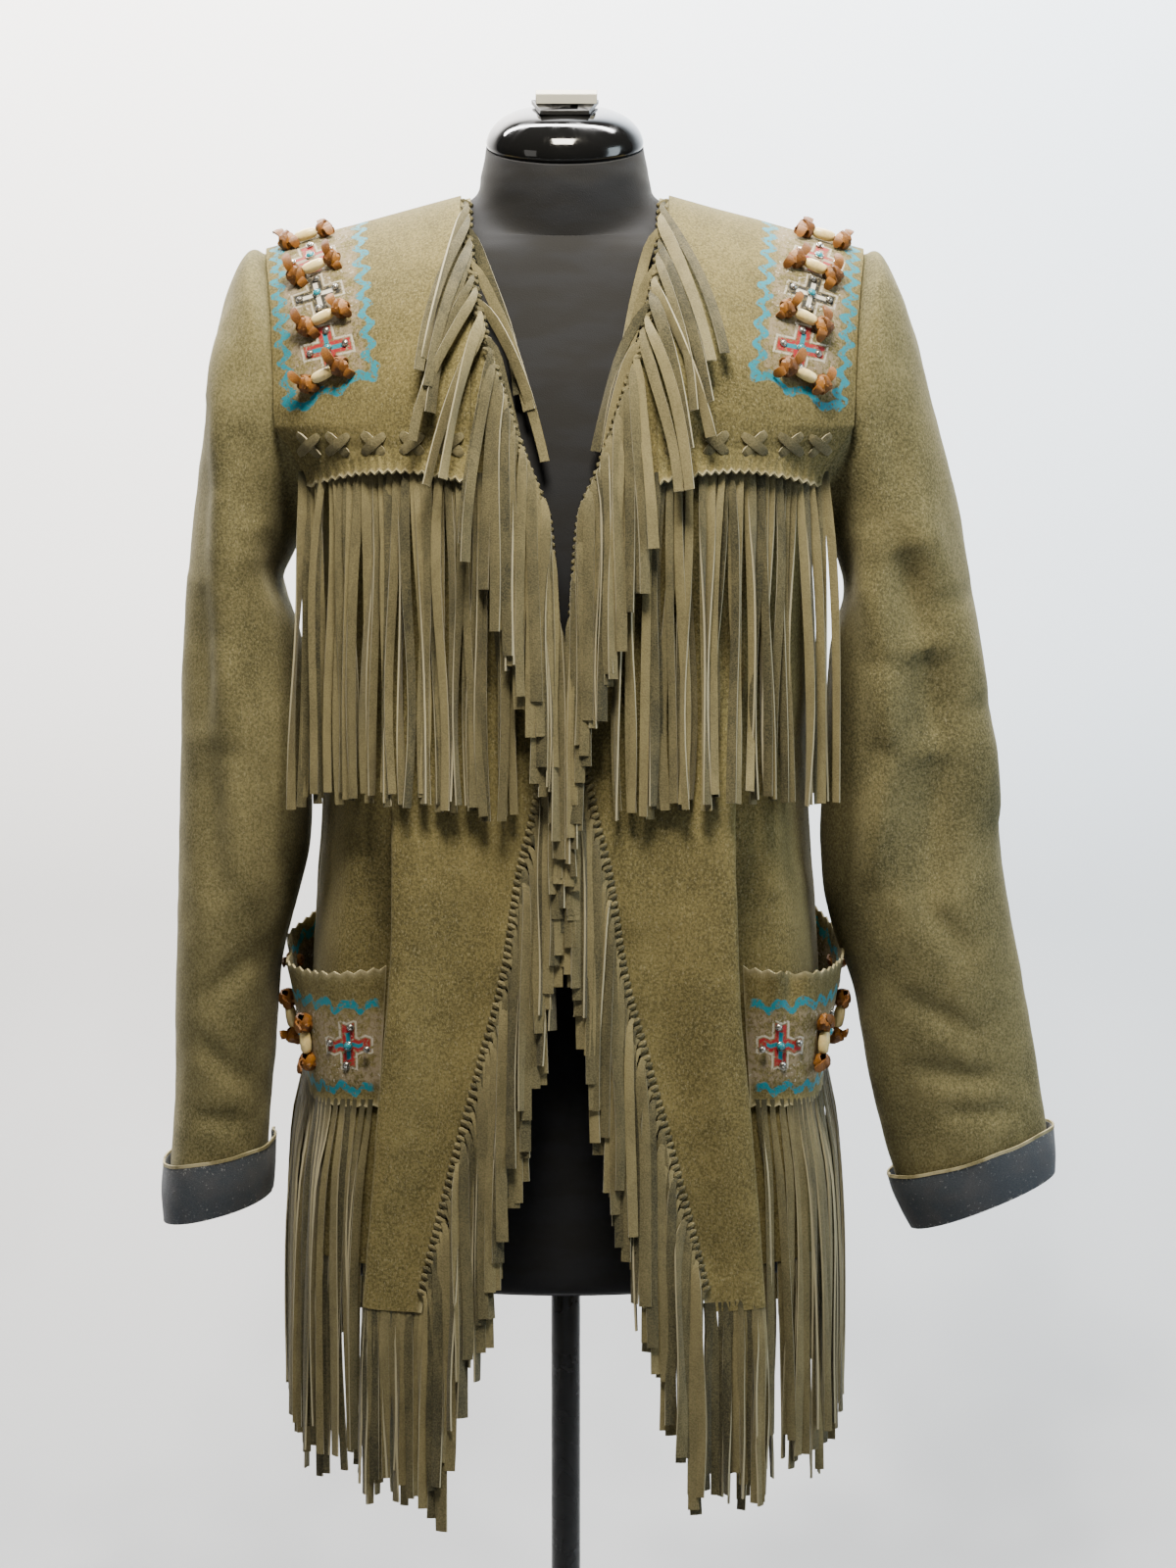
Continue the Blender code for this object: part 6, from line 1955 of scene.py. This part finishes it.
def build_neck_cap():
    """The form's glossy cap, with its plate and block, leaning forward as the neck does."""
    lean = Matrix.Translation((0, 0, NECK_RINGS[-1][0] + 0.0004)) @ Matrix.Rotation(math.atan(CAP_TILT), 4, "X")
    profile = [(0, CAP_REACH * 0.972), (0.001, CAP_REACH * 0.992)]
    for k in range(12):
        a = math.radians(8 + 74 * k / 11)
        profile.append((CAP_RISE * math.sin(a), CAP_REACH * math.cos(a) ** 0.62))
    profile.append((CAP_RISE * 0.9985, CAP_REACH * 0.16))
    cap = turned_up("gloss_neck_cap", profile, 64, finish("gloss"), 50)
    cap.data.transform(lean)
    on_body(cap, "gloss_black", "neck_cap")
    seat = CAP_RISE * math.sin(math.radians(82)) + 0.0004
    plate = add_primitive("cube", "cap_plate", size=1, location=(0, 0, seat + 0.0015), scale=(0.044, 0.034, 0.003))
    choose(plate, "FACE", lambda f: f.normal.z > 0.9)
    bpy.ops.mesh.inset(thickness=0.03)
    bpy.ops.mesh.inset(thickness=0.02, depth=-0.15)
    choose(plate, "EDGE", lambda e: all(v.co.y < -0.016 for v in e.verts))
    bpy.ops.transform.resize(value=(0.72, 1, 1), center_override=(0, -0.017, seat))
    leave(plate, 30, finish("satin"))
    apply_modifier(plate, "BEVEL", width=0.0004, segments=2, limit_method="ANGLE")
    plate.data.transform(lean)
    on_body(plate, "satin_black", "neck_plate")
    middle = (0.001, 0.006, seat + 0.0069)
    block = add_primitive("cube", "cap_block", size=1, location=middle, scale=(0.04, 0.013, 0.007))
    choose(block, "EDGE", lambda e: all(v.co.z > middle[2] and v.co.y < middle[1] for v in e.verts))
    bpy.ops.transform.translate(value=(0, 0.0062, 0))
    leave(block, 30, finish("cream"))
    apply_modifier(block, "BEVEL", width=0.0007, segments=3, limit_method="ANGLE")
    block.data.transform(lean)
    on_body(block, "cream_plastic", "neck_block")


def build_stand():
    disc = [(0, BASE_RADIUS - 0.001), (0.001, BASE_RADIUS)]
    disc += [(BASE_THICKNESS - 0.003 + 0.003 * math.sin(a), BASE_RADIUS - 0.003 + 0.003 * math.cos(a))
             for a in np.radians((0, 30, 60, 90))]
    disc.append((BASE_THICKNESS, HUB_RADIUS + 0.004))
    base = turned_up("round_base_plate", disc, 96, finish("enamel"))
    on_body(base, "black_steel", "stand_base")
    low = BASE_THICKNESS + SEAM_GAP
    hub = [(low, HUB_RADIUS), (low + 0.002, HUB_RADIUS), (low + 0.004, HUB_RADIUS * 0.94),
           (HUB_TOP - 0.003, HUB_RADIUS * HUB_TAPER), (HUB_TOP, HUB_RADIUS * HUB_TAPER - 0.002)]
    on_body(turned_up("pole_socket", hub, 48, finish("enamel")), "black_steel", "stand_hub")
    top = FORM[0][0] - SEAM_GAP
    pole = [(HUB_TOP + SEAM_GAP, POLE_RADIUS), (0.42, POLE_RADIUS), (0.4206, POLE_RADIUS - 0.0006),
            (0.4214, POLE_RADIUS - 0.0006), (0.422, POLE_RADIUS), (top, POLE_RADIUS)]
    on_body(turned_up("upright_pole", pole, 40, finish("enamel")), "black_steel", "stand_pole")


def backdrop_finish():
    """Pale and slightly clouded, with painted cool light bluer towards the right and painted shade darker at the
    floor. From behind it is clear, so that the back can be seen.
    """
    m = Finish("pale backdrop", 0.95, Specular_IOR_Level=0.1)
    position = m.position()
    tone = m.speckle(position, 1.6, 3, 0.55)
    across, _, up = m.split(position)
    # painted cool light: bluer towards the right, standing in for window light from that side
    colour = m.mixed(m.ranged(across, -0.6, 0.8), (0.8, 0.78, 0.76, 1), (0.7, 0.78, 0.86, 1))
    # painted shade: darker towards the floor, standing in for the light falling off lower down
    colour = m.mixed(m.ranged(up, 1.1, -0.1), colour, (0.22, 0.225, 0.23, 1))
    colour = m.mixed(m.ranged(tone, 0.35, 0.65, 0, 0.12), colour, (0.95, 0.95, 0.95, 1))
    behind = m.put("NewGeometry").outputs["Backfacing"]
    return m.made(Base_Color=colour, Alpha=m.minus(1, behind))


def area_light(name, place, target, size, energy, colour):
    data = bpy.data.lights.new(name, "AREA")
    data.shape = "RECTANGLE"
    data.size, data.size_y = size
    data.energy = energy
    data.color = colour
    light = bpy.data.objects.new(name, data)
    light.location = place
    light.rotation_euler = (Vector(target) - Vector(place)).to_track_quat("-Z", "Y").to_euler()
    bpy.context.scene.collection.objects.link(light)


def build_stage():
    """A pale floor that rises into a backdrop, soft lights and the camera."""
    bend = np.linspace(0, math.pi / 2, 13)
    y = np.concatenate([[-4, -1], 1.3 + 0.7 * np.sin(bend), [2]])
    z = np.concatenate([[0, 0], 0.7 - 0.7 * np.cos(bend), [4.2]])
    x = np.array((-4, 4))
    grid = points_of(x[None, :], y[:, None], z[:, None])
    index = np.arange(grid.shape[0] * 2).reshape(-1, 2)
    faces = grid_faces(index)
    make_object("backdrop", grid, faces, backdrop_finish(), sharp=60)
    target = (0, 0, 1.1)
    area_light("key", (-0.03, -0.66, 2.45), target, (0.45, 0.4), 60, (1, 0.93, 0.78))
    area_light("window", (1.9, -0.5, 1.55), target, (0.7, 1.4), 26, (0.8, 0.93, 1))
    area_light("side", (-1.9, -1.6, 1.7), target, (0.8, 1.2), 5, (1, 0.96, 0.9))
    area_light("wall", (-0.4, 0.9, 3.3), (-0.2, 2.2, 1.6), (3.2, 0.5), 500, (1, 0.985, 0.97))
    world = bpy.data.worlds.new("studio")
    world.use_nodes = True
    sky = world.node_tree.nodes["Background"].inputs
    sky["Color"].default_value = (0.86, 0.9, 0.96, 1)
    sky["Strength"].default_value = 0.045
    bpy.context.scene.world = world
    data = bpy.data.cameras.new("camera")
    data.lens = CAMERA_LENS
    data.sensor_width = 36
    camera = bpy.data.objects.new("camera", data)
    tilt = math.radians(CAMERA_DOWN)
    camera.location = Vector(CAMERA_AIM) + CAMERA_REACH * Vector((0, -math.cos(tilt), math.sin(tilt)))
    camera.rotation_euler = (math.pi / 2 - tilt, 0, 0)
    bpy.context.scene.collection.objects.link(camera)
    bpy.context.scene.camera = camera


class JACKET_OT_panels(bpy.types.Operator):
    """Cut the two fronts and the back"""

    bl_idname = "jacket.build_panels"
    bl_label = "Body panels"
    bl_options = {"REGISTER", "UNDO"}

    def execute(self, context):
        build_panels()
        return {"FINISHED"}


class JACKET_OT_sleeves(bpy.types.Operator):
    """Set in the sleeves and turn their cuffs"""

    bl_idname = "jacket.build_sleeves"
    bl_label = "Sleeves and cuffs"
    bl_options = {"REGISTER", "UNDO"}

    def execute(self, context):
        build_sleeves()
        return {"FINISHED"}


class JACKET_OT_yokes(bpy.types.Operator):
    """Lay the pinked and painted yokes on the fronts"""

    bl_idname = "jacket.build_yokes"
    bl_label = "Yokes"
    bl_options = {"REGISTER", "UNDO"}

    def execute(self, context):
        build_yokes()
        return {"FINISHED"}


class JACKET_OT_pockets(bpy.types.Operator):
    """Sew the painted pockets on the hips"""

    bl_idname = "jacket.build_pockets"
    bl_label = "Pockets"
    bl_options = {"REGISTER", "UNDO"}

    def execute(self, context):
        build_pockets()
        return {"FINISHED"}


class JACKET_OT_chest(bpy.types.Operator):
    """Hang the fringe under the yokes"""

    bl_idname = "jacket.build_chest_fringe"
    bl_label = "Chest fringe"
    bl_options = {"REGISTER", "UNDO"}

    def execute(self, context):
        build_chest_fringe()
        return {"FINISHED"}


class JACKET_OT_edge(bpy.types.Operator):
    """Draw thongs through the front edges"""

    bl_idname = "jacket.build_edge_fringe"
    bl_label = "Edge fringe"
    bl_options = {"REGISTER", "UNDO"}

    def execute(self, context):
        build_edge_fringe()
        return {"FINISHED"}


class JACKET_OT_hem(bpy.types.Operator):
    """Cut the hem fringe and hang the pocket fringe"""

    bl_idname = "jacket.build_hem_fringe"
    bl_label = "Hem and pocket fringe"
    bl_options = {"REGISTER", "UNDO"}

    def execute(self, context):
        build_hem_fringe()
        return {"FINISHED"}


class JACKET_OT_toggles(bpy.types.Operator):
    """Tie the bone beads between knots of thong"""

    bl_idname = "jacket.build_toggles"
    bl_label = "Beads and knots"
    bl_options = {"REGISTER", "UNDO"}

    def execute(self, context):
        build_toggles()
        return {"FINISHED"}


class JACKET_OT_studs(bpy.types.Operator):
    """Set the studs and stones on the crosses"""

    bl_idname = "jacket.build_studs"
    bl_label = "Studs and stones"
    bl_options = {"REGISTER", "UNDO"}

    def execute(self, context):
        build_studs()
        return {"FINISHED"}


class JACKET_OT_lacing(bpy.types.Operator):
    """Cross the flat thongs along the yokes"""

    bl_idname = "jacket.build_lacing"
    bl_label = "Lacing"
    bl_options = {"REGISTER", "UNDO"}

    def execute(self, context):
        build_lacing()
        return {"FINISHED"}


class JACKET_OT_form(bpy.types.Operator):
    """Pad the dress form under the jacket"""

    bl_idname = "jacket.build_form"
    bl_label = "Dress form"
    bl_options = {"REGISTER", "UNDO"}

    def execute(self, context):
        build_form()
        return {"FINISHED"}


class JACKET_OT_cap(bpy.types.Operator):
    """Top the form with its cap, plate and block"""

    bl_idname = "jacket.build_neck_cap"
    bl_label = "Neck cap"
    bl_options = {"REGISTER", "UNDO"}

    def execute(self, context):
        build_neck_cap()
        return {"FINISHED"}


class JACKET_OT_stand(bpy.types.Operator):
    """Raise the pole on its base"""

    bl_idname = "jacket.build_stand"
    bl_label = "Stand"
    bl_options = {"REGISTER", "UNDO"}

    def execute(self, context):
        build_stand()
        return {"FINISHED"}


class JACKET_OT_stage(bpy.types.Operator):
    """Set the floor, backdrop, lights and camera"""

    bl_idname = "jacket.build_stage"
    bl_label = "Stage"
    bl_options = {"REGISTER", "UNDO"}

    def execute(self, context):
        build_stage()
        return {"FINISHED"}


OPERATORS = (
    JACKET_OT_panels, JACKET_OT_sleeves, JACKET_OT_yokes, JACKET_OT_pockets, JACKET_OT_chest, JACKET_OT_edge,
    JACKET_OT_hem, JACKET_OT_toggles, JACKET_OT_studs, JACKET_OT_lacing, JACKET_OT_form, JACKET_OT_cap,
    JACKET_OT_stand, JACKET_OT_stage,
)


class JACKET_PT_builder(bpy.types.Panel):
    """Sizes, colours and pieces of the jacket."""

    bl_label = "Fringed jacket"
    bl_idname = "JACKET_PT_builder"
    bl_space_type = "VIEW_3D"
    bl_region_type = "UI"
    bl_category = "Jacket"

    def draw(self, context):
        for made in OPERATORS:
            self.layout.operator(made.bl_idname)
        for group in (context.scene.jacket_sizes, context.scene.jacket_colours):
            column = self.layout.column()
            for key in group.__annotations__:
                column.prop(group, key)


CLASSES = (JacketSizes, JacketColours, *OPERATORS, JACKET_PT_builder)


def register():
    for made in CLASSES:
        bpy.utils.register_class(made)
    bpy.types.Scene.jacket_sizes = PointerProperty(type=JacketSizes)
    bpy.types.Scene.jacket_colours = PointerProperty(type=JacketColours)


def unregister():
    del bpy.types.Scene.jacket_colours
    del bpy.types.Scene.jacket_sizes
    for made in reversed(CLASSES):
        bpy.utils.unregister_class(made)


def main():
    register()
    for made in OPERATORS:
        category, name = made.bl_idname.split(".")
        getattr(getattr(bpy.ops, category), name)()


if __name__ == "__main__":
    main()
